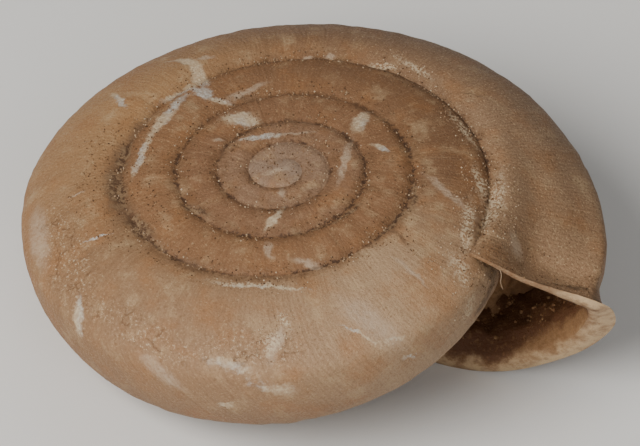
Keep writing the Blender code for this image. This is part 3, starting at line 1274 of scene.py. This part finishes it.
@dataclass(frozen=True)
class WornShellFinish:
    """Dull tan shell with growth lines, worn and stained, and with painted light and shade."""

    name: str = "worn_shell"
    whorls: float = 6.0
    # Colours along the whorls. Around the last whorl the stops also hold painted light and shade:
    # lighter where the key light falls, darker on the right (4.93) and at the back (5.68).
    tones_and_painted_light_by_whorl: tuple[tuple[float, Rgb], ...] = (
        (0.0, (138, 116, 98)), (1.35, (140, 117, 98)), (2.1, (134, 104, 80)),
        (3.4, (122, 87, 60)), (4.5, (128, 91, 60)), (4.93, (112, 80, 54)),
        (5.06, (162, 133, 102)), (5.2, (140, 109, 80)), (5.35, (131, 99, 69)),
        (5.52, (158, 120, 80)), (5.68, (124, 92, 65)), (5.85, (140, 111, 84)),
        (6.0, (142, 110, 80)))
    streaks: tuple[Mottle, ...] = (
        Mottle(4.0, 0.60, (Tint(0.46, 0.70, 0.55, WARM),), scale=0.42),
        Mottle(4.0, 0.65, (Tint(0.50, 0.75, 0.42, PALE),), scale=0.75),
        Mottle(3.0, 0.60, (Tint(0.50, 0.74, 0.20, BROWN),), stretch=(1.9, 0.16, 0.0)),
        Mottle(3.0, 0.65, (Tint(0.52, 0.72, 0.20, BROWN), Tint(0.46, 0.28, 0.14, PALE)),
               stretch=(6.5, 0.40, 0.0)))
    freckles: tuple[Mottle, ...] = (
        Mottle(3.0, 0.75, (Tint(0.55, 0.74, 0.50, BROWN), Tint(0.42, 0.26, 0.42, PALE)),
               scale=5.5),)
    soil: Rgb = (62, 40, 24)
    # Colour of the dark marks: soil stain, and partly painted shade beside the outer seam at the
    # left.
    stain: Rgb = (108, 81, 57)
    cake: Rgb = (122, 97, 70)
    chalk: Rgb = (190, 170, 140)
    chalk_cool: Rgb = (178, 172, 162)
    bloom: Rgb = (172, 150, 126)
    lip: Rgb = (184, 156, 120)
    inside: Rgb = (136, 102, 69)
    # Dark soil deep in the mouth, partly painted shade of the recess.
    deep_soil_and_shade: Rgb = (92, 58, 34)
    crust: Rgb = (124, 90, 58)
    roughness: Pair = (0.50, 0.78)
    shine: float = 0.35
    ribs_per_mm: float = 3.8
    rib_wander: float = 12.0
    mark_wander: float = 0.75
    # Direction of the back, towards which painted light fades the seam soil.
    painted_light_back_at: Pair = (-0.57, 0.82)
    line_relief: float = 0.022
    grain_relief: float = 0.060
    rib_relief: float = 0.003

    def ribs(self, bench: Bench, growth: Socket) -> Socket:
        """Fine, slightly uneven growth ribs.

        Args:
            bench: the material in the making.
            growth: length grown, distance across and distance to a seam.

        Returns:
            Their height, from -1 to 1.
        """
        wander = bench.cloud(bench.stretch(growth, (0.9, 0.5, 0.0)), 1.0, 2.0, 0.5)
        turns = bench.times(bench.split(growth)[0], self.ribs_per_mm * FULL_TURN)
        return bench.sum_up("SINE", bench.plus(turns, bench.times(wander, self.rib_wander)))

    def mottled(self, bench: Bench, colour: Socket, place: Socket, growth: Socket,
                mottles: tuple[Mottle, ...]) -> Socket:
        """Bring out the tints of some mottles.

        Args:
            bench: the material in the making.
            colour: the colour beneath.
            place: upright place.
            growth: length grown, distance across and distance to a seam.
            mottles: which noise, and its tints.

        Returns:
            The colour.
        """
        for mottle in mottles:
            where = bench.stretch(growth, mottle.stretch) if mottle.stretch else place
            noise = bench.cloud(where, mottle.scale, mottle.detail, mottle.rough)
            for tint in mottle.tints:
                share = bench.ease(noise, tint.low, tint.high, 0.0, tint.most)
                colour = bench.blend(share, colour, tone(tint.rgb))
        return colour

    def base(self, bench: Bench, place: Socket, growth: Socket) -> Socket:
        """Shell colour with growth streaks and mottling, and painted light and shade around the
        last whorl.

        Args:
            bench: the material in the making.
            place: upright place.
            growth: length grown, distance across and distance to a seam.

        Returns:
            The colour.
        """
        stage = bench.read("stage", "Fac")
        whorl = bench.sum_up("DIVIDE", stage, self.whorls)
        # The whorl ramp carries painted light and shade around the last whorl.
        colour = bench.ramp(whorl, [(at / self.whorls, rgb) for at, rgb in self.tones_and_painted_light_by_whorl])
        colour = self.mottled(bench, colour, place, growth, self.streaks)
        ribs = bench.ease(self.ribs(bench, growth), 0.35, 1.0, 0.0, 0.12)
        colour = bench.blend(ribs, colour, tone(BROWN))
        colour = self.mottled(bench, colour, place, growth, self.freckles)
        grit = bench.cloud(place, 9.0, 3.0, 0.75)
        late = bench.ease(stage, 5.62, 5.85, 0.35, 0.85)
        colour = bench.blend(bench.times(bench.ease(grit, 0.56, 0.66), late), colour, tone(BROWN))
        return bench.blend(bench.times(bench.ease(grit, 0.42, 0.32), late), colour, tone(PALE))

    def seams(self, bench: Bench, colour: Socket, place: Socket, seam: Socket,
              patchy: Socket, ragged: Socket) -> Socket:
        """Soil along the seams, with a broad band beside them that is partly painted shade; paler
        towards the back as painted light, and fainter near the tip.

        Args:
            bench: the material in the making.
            colour: the clean shell's colour.
            place: upright place.
            seam: distance to the nearest seam.
            patchy: broad noise.
            ragged: fine noise.

        Returns:
            The colour.
        """
        near = bench.plus(seam, bench.swing(ragged, 0.95))
        x, y, _ = bench.split(place)
        # Painted light: the seam soil fades towards the back, which is lit and foreshortened.
        back = bench.plus(bench.times(y, self.painted_light_back_at[1]), bench.times(x, self.painted_light_back_at[0]))
        shown = bench.times(bench.ease(back, 1.0, 6.5, 1.0, 0.45),
                            bench.ease(bench.read("stage", "Fac"), 1.2, 2.6, 0.15, 1.0))
        # A broad brown band up to 0.8 mm from a seam: partly soil, partly painted shade of the
        # sunken seam. Then a narrow soil line in the seam itself.
        for rgb, span, patches in ((BROWN, (0.80, 0.05), (0.35, 0.62, 0.20, 0.75)),
                                   (self.soil, (0.13, 0.0), (0.36, 0.58, 0.30, 0.90))):
            share = bench.times(bench.ease(near, *span), bench.ease(patchy, *patches))
            colour = bench.blend(bench.times(share, shown), colour, tone(rgb))
        return colour

    def weather(self, bench: Bench, colour: Socket, place: Socket, moved: Socket,
                patchy: Socket) -> Socket:
        """Grit and fine cracks where the skin is crazed.

        Args:
            bench: the material in the making.
            colour: the colour beneath.
            place: upright place.
            moved: the place, shifted a little by noise.
            patchy: broad noise.

        Returns:
            The colour.
        """
        crazed = bench.ease(bench.patches(moved, MarkKind.CRAZED), 1.1, 0.5)
        grit = bench.cloud(place, 6.5, 3.0, 0.75)
        crack = bench.times(bench.ease(bench.cracks(moved, 0.85), 0.045, 0.01),
                            bench.ease(patchy, 0.46, 0.58, 0.0, 0.8))
        for share, rgb in ((bench.ease(grit, 0.54, 0.66, 0.0, 0.55), BROWN),
                           (bench.ease(grit, 0.44, 0.33, 0.0, 0.75), self.chalk),
                           (crack, BROWN)):
            colour = bench.blend(bench.times(share, crazed), colour, tone(rgb))
        return colour

    def stains(self, bench: Bench, colour: Socket, place: Socket, seam: Socket) -> Socket:
        """Soil along the seams, and the dark and pale marks; some dark marks are partly painted
        shade.

        Args:
            bench: the material in the making.
            colour: the clean shell's colour.
            place: upright place.
            seam: distance to the nearest seam.

        Returns:
            The stained colour.
        """
        wander = bench.vector("SUBTRACT", bench.cloud(place, 1.6, 4.0, 0.65, "Color"), (0.5,) * 3)
        moved = bench.vector("ADD", place, bench.vector("SCALE", wander, scale=self.mark_wander))
        patchy = bench.cloud(place, 0.9, 3.0, 0.6)
        ragged = bench.cloud(place, 4.0, 3.0, 0.7)
        speckled = bench.cloud(place, 7.0, 2.0, 0.6)
        colour = self.seams(bench, colour, place, seam, patchy, ragged)
        colour = self.weather(bench, colour, place, moved, patchy)
        caked = bench.blend(bench.ease(ragged, 0.42, 0.56), tone(self.soil), tone(self.cake))
        for kind, edge, noise, span, over in (
                # Dark marks: soil stains, and partly painted shade beside the outer seam at the
                # left.
                (MarkKind.STAIN_AND_SHADE, (1.2, 0.2), ragged, (0.30, 0.62, 0.40, 1.0), tone(self.stain)),
                (MarkKind.CAKED, (1.25, 0.5), ragged, (0.34, 0.60, 0.65, 1.0), caked),
                (MarkKind.FAINT, (1.2, 0.3), ragged, (0.32, 0.60, 0.30, 0.75), tone(self.bloom)),
                (MarkKind.GRAINY, (1.3, 0.4), speckled, (0.44, 0.56, 0.0, 0.8), tone(self.chalk))):
            share = bench.ease(bench.patches(moved, kind), *edge)
            colour = bench.blend(bench.times(share, bench.ease(noise, *span)), colour, over)
        worn = bench.plus(bench.patches(moved, MarkKind.CHALK), bench.swing(ragged, 1.1))
        flaky = bench.ease(bench.cloud(place, 6.0, 3.0, 0.7), 0.36, 0.60, 0.95, 0.50)
        cool = bench.ease(bench.cloud(place, 0.45, 2.0, 0.5), 0.45, 0.60)
        chalk = bench.blend(cool, tone(self.chalk), tone(self.chalk_cool))
        return bench.blend(bench.times(bench.ease(worn, 1.30, 0.55), flaky), colour, chalk)

    def mouth(self, bench: Bench, colour: Socket, place: Socket) -> Socket:
        """Pale lip, and the inside with its soil, darker further in: soil, and partly painted shade
        of the recess.

        Args:
            bench: the material in the making.
            colour: the outer skin's colour.
            place: upright place.

        Returns:
            The colour.
        """
        behind, depth, share = bench.split(bench.read("mouth"))
        cloudy = bench.cloud(place, 1.3, 4.0, 0.65)
        stain = bench.cloud(place, 3.5, 3.0, 0.6)
        inside, crust = tone(self.inside), tone(self.crust)
        lip = bench.blend(bench.ease(cloudy, 0.42, 0.66, 0.0, 0.7), tone(self.lip), inside)
        rim = bench.times(bench.ease(share, 0.10, 0.19), bench.ease(behind, 0.30, 0.05))
        colour = bench.blend(rim, colour, lip)
        ragged = bench.plus(depth, bench.swing(cloudy, 1.1))
        wall = bench.blend(bench.ease(stain, 0.4, 0.6), inside, crust)
        colour = bench.blend(bench.ease(ragged, 0.15, 0.75), colour, wall)
        # Partly painted shade: the dark soil starts nearer the lip in one stretch of each ring,
        # darkening the mouth's recess.
        right = bench.times(bench.ease(share, 0.26, 0.38), bench.ease(share, 0.62, 0.50))
        reach = bench.plus(bench.times(right, 0.8), 0.32)
        soil = bench.blend(bench.ease(stain, 0.52, 0.70, 0.0, 0.8), tone(self.deep_soil_and_shade), crust)
        return bench.blend(bench.ease(bench.minus(ragged, reach), 0.0, 0.45), colour, soil)

    def make(self) -> bpy.types.Material:
        """Build the material.

        Returns:
            The material.
        """
        bench = Bench(self.name)
        place, growth = bench.read("upright"), bench.read("growth")
        colour = self.base(bench, place, growth)
        colour = self.stains(bench, colour, place, bench.split(growth)[2])
        bench.set("Base Color", self.mouth(bench, colour, place))
        lines = bench.cloud(bench.stretch(growth, (5.6, 0.3, 0.0)), 1.0, 2.0, 0.6)
        grain = bench.cloud(place, 9.0, 4.0, 0.65)
        bench.set("Roughness", bench.ease(grain, 0.3, 0.7, *self.roughness))
        bench.set("Specular IOR Level", self.shine)
        height = bench.plus(bench.times(lines, self.line_relief),
                            bench.times(grain, self.grain_relief))
        ribs = bench.times(self.ribs(bench, growth), self.rib_relief)
        bench.roughen(bench.plus(height, ribs), 0.9, MM)
        return bench.material


@dataclass(frozen=True)
class GrainFinish:
    """Soil or sand whose grains differ in colour."""

    name: str
    stops: tuple[tuple[float, Rgb], ...]
    roughness: float = 0.8
    smoother: float = 0.15
    shine: float = 0.3
    dull: Rgb = (60, 40, 24)
    relief: float = 0.03

    def make(self) -> bpy.types.Material:
        """Build the material.

        Returns:
            The material.
        """
        bench = Bench(self.name)
        here = bench.add("ShaderNodeTexCoord").outputs["Object"]
        speck = bench.cloud(bench.vector("SCALE", here, scale=1.0 / MM), 14.0, 3.0, 0.7)
        colour = bench.ramp(bench.read("own_tone", "Fac"), list(self.stops))
        dull = bench.blend(0.5, colour, tone(self.dull))
        bench.set("Base Color", bench.blend(bench.ease(speck, 0.45, 0.7, 0.0, 0.6), colour, dull))
        smoothest = self.roughness - self.smoother
        bench.set("Roughness", bench.ease(speck, 0.3, 0.7, smoothest, self.roughness))
        bench.set("Specular IOR Level", self.shine)
        bench.roughen(speck, 0.6, self.relief * MM)
        return bench.material


DARK_SOIL = GrainFinish("dark_soil", (
    (0.0, (72, 49, 30)), (0.55, (102, 73, 47)), (0.92, (132, 100, 68)), (1.0, (164, 134, 98))))
PALE_SAND = GrainFinish("pale_sand", (
    (0.0, (114, 86, 60)), (0.5, (152, 124, 94)), (1.0, (186, 164, 134))), 0.55, shine=0.5)
MOUTH_SOIL = GrainFinish("mouth_soil", (
    (0.0, (92, 62, 38)), (0.55, (124, 88, 56)), (0.9, (148, 112, 76)), (1.0, (166, 132, 94))))


@dataclass(frozen=True)
class PlainFinish:
    """The floor's even pale finish."""

    name: str = "pale_floor"
    colour: Rgb = (226, 224, 220)
    roughness: float = 0.9

    def make(self) -> bpy.types.Material:
        """Build the material.

        Returns:
            The material.
        """
        bench = Bench(self.name)
        bench.set("Base Color", tone(self.colour))
        bench.set("Roughness", self.roughness)
        return bench.material


@dataclass
class Spots:
    """Random places on the shell where grains may lie."""

    points: Array
    normals: Array
    seam: Array
    stage: Array
    depth: Array

    @classmethod
    def of(cls, skin: Skin, count: int, seed: int) -> "Spots":
        """Draw places evenly over the skin.

        Args:
            skin: the finished skin.
            count: how many places.
            seed: start of the random draw.

        Returns:
            The places.
        """
        draw = np.random.default_rng(seed)
        upright = np.concatenate(skin.points)
        quads = np.concatenate(skin.quads)
        corners = np.concatenate(skin.quad_records)
        growth, stage, mouth = skin.records.joined()
        a, b, c, d = (upright[quads[:, i]] for i in range(4))
        normal = np.cross(c - a, d - b)
        area = np.linalg.norm(normal, axis=1)
        chosen = draw.choice(len(quads), size=count, p=area / area.sum())
        u, v = draw.uniform(size=(2, count, 1))
        weights = ((1 - u) * (1 - v), u * (1 - v), u * v, (1 - u) * v)

        def mean(values: Array, numbers: Array) -> Array:
            """Values at the four corners, weighted for each place."""
            return sum(w * values[numbers[chosen, i]] for i, w in enumerate(weights))

        seam, depth = mean(growth, corners)[:, 2], mean(mouth, corners)[:, 1]
        whorl = mean(stage[:, None], corners)[:, 0]
        return cls(mean(upright, quads), unit(normal[chosen]), seam, whorl, depth)

    def marked(self, kind: MarkKind) -> Array:
        """How close each place is to the marks of a kind."""
        return sum(mark.closeness(self.points) for mark in MARKS[kind])


class GrainPlace(Enum):
    """Where a field of grains lies."""

    SEAMS = "soil in the seams"
    DUST = "pale sand on the marks"
    SPECKS = "single specks"
    MOUTH = "soil lumps inside the mouth"


@dataclass
class GrainField:
    """Many small grains as one mesh."""

    name: str
    where: GrainPlace
    count: int
    radius: Pair
    sunk: float
    seed: int
    finish: GrainFinish
    flat: float = 0.75
    tall: float = 1.15
    uneven: float = 0.16
    size_power: float = 0.45
    size_curve: float = 1.6
    patch_lengths: Pair = (4.0, 1.2)

    def weight(self, spots: Spots) -> Array:
        """How likely a grain lies at each place.

        Args:
            spots: the places.

        Returns:
            One weight each.
        """
        outside = spots.depth <= 0.0
        patchy = smooth(Ripple(self.seed, *self.patch_lengths).at(spots.points), -0.6, 1.4)
        upper = spots.normals[:, 2] > -0.2
        if self.where is GrainPlace.SEAMS:
            near = np.exp(-(spots.seam / 0.12) ** 2) + 0.09 * np.exp(-(spots.seam / 0.36) ** 2)
            late = smooth(spots.stage, 1.2, 3.5)
            dirty = 0.05 * spots.marked(MarkKind.STAIN_AND_SHADE) + 0.9 * spots.marked(MarkKind.CAKED)
            # Painted light: fewer seam grains towards the back, as the seam colour fades there.
            back = smooth(0.82 * spots.points[:, 1] - 0.57 * spots.points[:, 0], 1.0, 6.5)
            seams = near * patchy * (0.2 + 0.8 * late) * (1.0 - 0.6 * back)
            return outside * (seams + dirty * upper)
        if self.where is GrainPlace.DUST:
            seam = 0.03 * np.exp(-(spots.seam / 0.3) ** 2) * patchy
            return outside * upper * (spots.marked(MarkKind.GRAINY) + seam)
        if self.where is GrainPlace.SPECKS:
            return outside * upper * (0.15 + patchy ** 2)
        return hump(spots.depth, 0.9, 2.2, 5.5, 8.0) * (0.15 + patchy)

    def build(self, spots: Spots) -> bpy.types.Object:
        """Build the grains.

        Args:
            spots: where they may lie.

        Returns:
            The object.
        """
        draw = np.random.default_rng(self.seed)
        count, weight = self.count, self.weight(spots)
        chosen = draw.choice(len(weight), size=count, replace=False, p=weight / weight.sum())
        low, high = self.radius
        grown = draw.power(self.size_power, count)[:, None, None] ** self.size_curve
        size = low + (high - low) * grown
        body, faces = ball()
        grains = body[None] * (1.0 + draw.normal(scale=self.uneven, size=(count, len(body), 3)))
        grains *= size * draw.uniform(self.flat, self.tall, size=(count, 1, 3))
        turns = np.linalg.qr(draw.normal(size=(count, 3, 3)))[0]
        out = size[:, 0] * (1.0 - 2.0 * self.sunk)
        centres = spots.points[chosen] + spots.normals[chosen] * out
        points = np.einsum("nij,nkj->nki", turns, grains) + centres[:, None, :]
        faces = faces[None] + np.arange(count)[:, None, None] * len(body)
        made = make_piece(self.name, points.reshape(-1, 3), faces.reshape(-1, 3).tolist())
        own = np.repeat(draw.uniform(size=count), len(body))
        write_values(made.data, "own_tone", "POINT", own)
        made.data.materials.append(self.finish.make())
        return made


def ball() -> tuple[Array, Array]:
    """A ball of twenty triangles.

    Returns:
        Its points and its faces.
    """
    golden = (1.0 + math.sqrt(5.0)) / 2.0
    points = []
    for a in (-1.0, 1.0):
        for b in (-golden, golden):
            points += [(a, b, 0.0), (0.0, a, b), (b, 0.0, a)]
    points = np.array(points)
    points /= np.linalg.norm(points[0])
    side = 2.0 / math.sqrt(1.0 + golden ** 2)
    faces = []
    for i, j, k in combinations(range(len(points)), 3):
        corners = points[[i, j, k]]
        edges = np.linalg.norm(corners - np.roll(corners, 1, axis=0), axis=1)
        if np.allclose(edges, side):
            out = np.cross(corners[1] - corners[0], corners[2] - corners[0]) @ corners[0] > 0
            faces.append((i, j, k) if out else (i, k, j))
    return points, np.array(faces)


@dataclass
class SoilPlug:
    """Dried soil that closes the tube a little way inside the mouth."""

    finish: GrainFinish
    law: GrowthLaw
    turned: float = 0.050
    span: Pair = (0.012, 0.10)
    steps: int = 23
    rings: int = 34
    bulge: float = 0.6
    heap: float = 0.9
    rough: float = 0.45
    lumps: Ripple = Ripple(31, 3.2, 0.9, 40)
    fine_rough: float = 0.26
    crumbs: Ripple = Ripple(32, 0.8, 0.28, 50)
    tones: Ripple = Ripple(33, 2.0, 0.5, 40)
    middle_tone: float = 0.55
    tone_swing: float = 0.25

    def follow(self, turned: Array, share: Array) -> Array:
        """Put points on the tube's own rings.

        Args:
            turned: how far back from the mouth each point is, in turns.
            share: how far out from the middle of its ring, from 1 at the wall to 0.

        Returns:
            The points.
        """
        stages = [round(self.law.whorls - t, 9) for t in np.linspace(*self.span, self.steps)]
        rings = np.array([self.law.tube(t) for t in stages])
        centres = rings.mean(axis=1)
        step = (turned - self.span[0]) / (self.span[1] - self.span[0]) * (self.steps - 1)
        step = np.clip(step, 0.0, self.steps - 1.001)
        low, between = step.astype(int), (step % 1.0)[:, None]
        place = np.append(np.tile(np.arange(rings.shape[1]), self.rings), 0)
        edge = rings[low, place] * (1.0 - between) + rings[low + 1, place] * between
        middle = centres[low] * (1.0 - between) + centres[low + 1] * between
        return middle + (edge - middle) * share[:, None]

    def build(self) -> bpy.types.Object:
        """Build the plug.

        Returns:
            The object.
        """
        ring = self.law.tube(round(self.law.whorls - self.turned, 9))
        centre, count = ring.mean(axis=0), len(ring)
        shares = np.linspace(1.0, 0.0, self.rings + 1)[:-1]
        points = np.concatenate([centre + (ring - centre) * share for share in shares]
                                + [centre[None, :]])
        share = np.append(np.repeat(shares, count), 0.0)
        high = (points[:, 2] - ring[:, 2].min()) / np.ptp(ring[:, 2])
        forward = self.heap * high ** 2 - self.bulge * (1.0 - share ** 2)
        forward += self.rough * self.lumps.at(points) + self.fine_rough * self.crumbs.at(points)
        away = np.linalg.norm(points[:, :2], axis=1)
        points = self.follow(self.turned - forward / (FULL_TURN * away), share)
        faces = []
        for row in range(self.rings):
            for k in range(count):
                a, b = row * count + k, row * count + (k + 1) % count
                inner = (b + count, a + count) if row < self.rings - 1 else (len(points) - 1,)
                faces.append((a, b, *inner))
        made = make_piece("soil_plug", points, faces)
        own = np.clip(self.middle_tone + self.tone_swing * self.tones.at(points), 0.0, 1.0)
        write_values(made.data, "own_tone", "POINT", own)
        made.data.shade_smooth()
        made.data.materials.append(self.finish.make())
        return made


@dataclass
class RootHair:
    """A thin dry root that hangs from the lip."""

    finish: GrainFinish
    top: Triple = (12.2, 0.16, -1.72)
    length: float = 1.55
    radius: float = 0.028
    thinner: float = 0.5
    sway: float = 0.07
    sides: int = 6
    steps: int = 16
    own_tone: float = 0.7

    def build(self) -> bpy.types.Object:
        """Build the hair as one tube.

        Returns:
            The object.
        """
        sides, down = self.sides, np.linspace(0.0, 1.0, self.steps + 1)
        middle = np.array(self.top) - np.outer(down, (0.0, 0.0, self.length))
        middle[:, 0] += self.sway * np.sin(FULL_TURN * down)
        middle[:, 1] += self.sway * (1.0 - np.cos(math.pi * down))
        turns = FULL_TURN * np.arange(sides) / sides
        thick = self.radius * (1.0 - self.thinner * down)
        ring = np.stack((np.cos(turns), np.sin(turns), np.zeros(sides)), axis=1)
        points = (middle[:, None, :] + ring[None] * thick[:, None, None]).reshape(-1, 3)
        faces = [tuple(range(sides))]
        for start in range(0, len(points) - sides, sides):
            for k in range(sides):
                a, b = start + k, start + (k + 1) % sides
                faces.append((a, a + sides, b + sides, b))
        faces.append(tuple(reversed(range(len(points) - sides, len(points)))))
        made = make_piece("root_hair", points, faces)
        write_values(made.data, "own_tone", "POINT", np.full(len(points), self.own_tone))
        made.data.shade_smooth()
        made.data.materials.append(self.finish.make())
        return made


@dataclass(frozen=True)
class PhotoCamera:
    """A long lens at the photograph's angle."""

    azimuth: float = math.radians(35.2)
    elevation: float = math.radians(42.48)
    roll: float = math.radians(5.93)
    mm_per_pixel: float = 0.049
    pixels: tuple[int, int] = (640, 446)
    tip_pixel: Pair = (281.5, 168.4)
    lens: float = 900.0
    sensor: float = 36.0
    clip: Pair = (0.01, 10.0)

    def place(self) -> None:
        """Make the camera and look through it."""
        sin, cos = math.sin, math.cos
        side = Vector((cos(self.azimuth), sin(self.azimuth), 0.0))
        rise = Vector((-sin(self.azimuth) * sin(self.elevation),
                       cos(self.azimuth) * sin(self.elevation), cos(self.elevation)))
        right = side * cos(self.roll) - rise * sin(self.roll)
        up = side * sin(self.roll) + rise * cos(self.roll)
        back = right.cross(up)
        across = (self.pixels[0] / 2 - self.tip_pixel[0]) * self.mm_per_pixel
        along = (self.tip_pixel[1] - self.pixels[1] / 2) * self.mm_per_pixel
        distance = self.pixels[0] * self.mm_per_pixel * self.lens / self.sensor
        spot = right * across + up * along + back * distance
        lens = bpy.data.cameras.new("photo_camera")
        lens.lens, lens.sensor_width = self.lens, self.sensor
        lens.clip_start, lens.clip_end = self.clip
        rest = RestPose()
        turn = rest.turn() @ Matrix((right, up, back)).transposed()
        where = rest.turn() @ spot + Vector(rest.tip_at)
        camera = link("photo_camera", lens)
        camera.matrix_world = Matrix.Translation(where * MM) @ turn.to_4x4()
        bpy.context.scene.camera = camera


@dataclass(frozen=True)
class Softbox:
    """One soft studio light, aimed at the shell; its angles are degrees."""

    name: str
    azimuth: float
    elevation: float
    distance: float
    size: float
    power: float
    colour: Triple = (1.0, 1.0, 1.0)

    def place(self) -> None:
        """Make the light."""
        a, e = math.radians(self.azimuth), math.radians(self.elevation)
        back = Vector((math.sin(a) * math.cos(e), -math.cos(a) * math.cos(e), math.sin(e)))
        light = bpy.data.lights.new(self.name, "AREA")
        light.shape, light.size = "DISK", self.size
        light.energy, light.color = self.power, self.colour
        turn = back.to_track_quat("Z", "Y").to_matrix().to_4x4()
        link(self.name, light).matrix_world = Matrix.Translation(back * self.distance) @ turn


@dataclass(frozen=True)
class Studio:
    """Pale floor, soft lights and the camera."""

    floor_size: float = 8.0
    ambient: float = 0.17
    boxes: tuple[Softbox, ...] = (
        Softbox("key_light", -13.0, 40.0, 0.42, 0.26, 2.35, (1.0, 0.985, 0.96)),
        Softbox("fill_light", 42.0, 34.0, 0.50, 0.34, 0.55, (0.97, 0.985, 1.0)),
        Softbox("back_light", 215.0, 60.0, 0.50, 0.30, 0.18),
    )

    def floor(self) -> None:
        """Make the floor."""
        half = self.floor_size / 2.0
        corners = [(x * half, y * half, 0.0) for x, y in ((-1, -1), (1, -1), (1, 1), (-1, 1))]
        mesh = bpy.data.meshes.new("floor")
        mesh.from_pydata(corners, [], [(0, 1, 2, 3)])
        mesh.materials.append(PlainFinish().make())
        floor = link("floor", mesh)

    def build(self) -> None:
        """Make everything around the shell."""
        self.floor()
        for box in self.boxes:
            box.place()
        world = bpy.data.worlds.new("studio")
        world.use_nodes = True
        sky = world.node_tree.nodes["Background"]
        sky.inputs["Color"].default_value = (1.0, 1.0, 1.0, 1.0)
        sky.inputs["Strength"].default_value = self.ambient
        bpy.context.scene.world = world
        PhotoCamera().place()


@dataclass
class SnailShell:
    """The dressed shell: its skin, and the soil and sand on it."""

    skin: Skin = field(default_factory=Skin)
    spot_count: int = 160000
    seed: int = 5
    fields: tuple[GrainField, ...] = (
        GrainField("seam_soil", GrainPlace.SEAMS, 9000, (0.012, 0.054), 0.40, 6, DARK_SOIL),
        GrainField("pale_dust", GrainPlace.DUST, 4600, (0.012, 0.058), 0.45, 7, PALE_SAND),
        GrainField("specks", GrainPlace.SPECKS, 900, (0.010, 0.026), 0.4, 8, PALE_SAND),
        GrainField("mouth_lumps", GrainPlace.MOUTH, 1500, (0.02, 0.13), 0.5, 9, MOUTH_SOIL),
    )

    def build(self) -> list[bpy.types.Object]:
        """Build and dress every piece.

        Returns:
            The pieces.
        """
        shell = self.skin.build()
        shell.data.materials.append(WornShellFinish().make())
        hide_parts(NODE)
        spots = Spots.of(self.skin, self.spot_count, self.seed)
        pieces = [shell] + [grains.build(spots) for grains in self.fields]
        pieces.append(SoilPlug(MOUTH_SOIL, self.skin.law).build())
        pieces.append(RootHair(PALE_SAND).build())
        for piece in pieces:
            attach(piece, BODY)
            LOG.info("%s: %d faces", piece.name, len(piece.data.polygons))
        return pieces


def main() -> None:
    """Build the shell and its studio, and report each piece."""
    logging.basicConfig(level=logging.INFO)
    SnailShell().build()
    Studio().build()


if __name__ == "__main__":
    main()
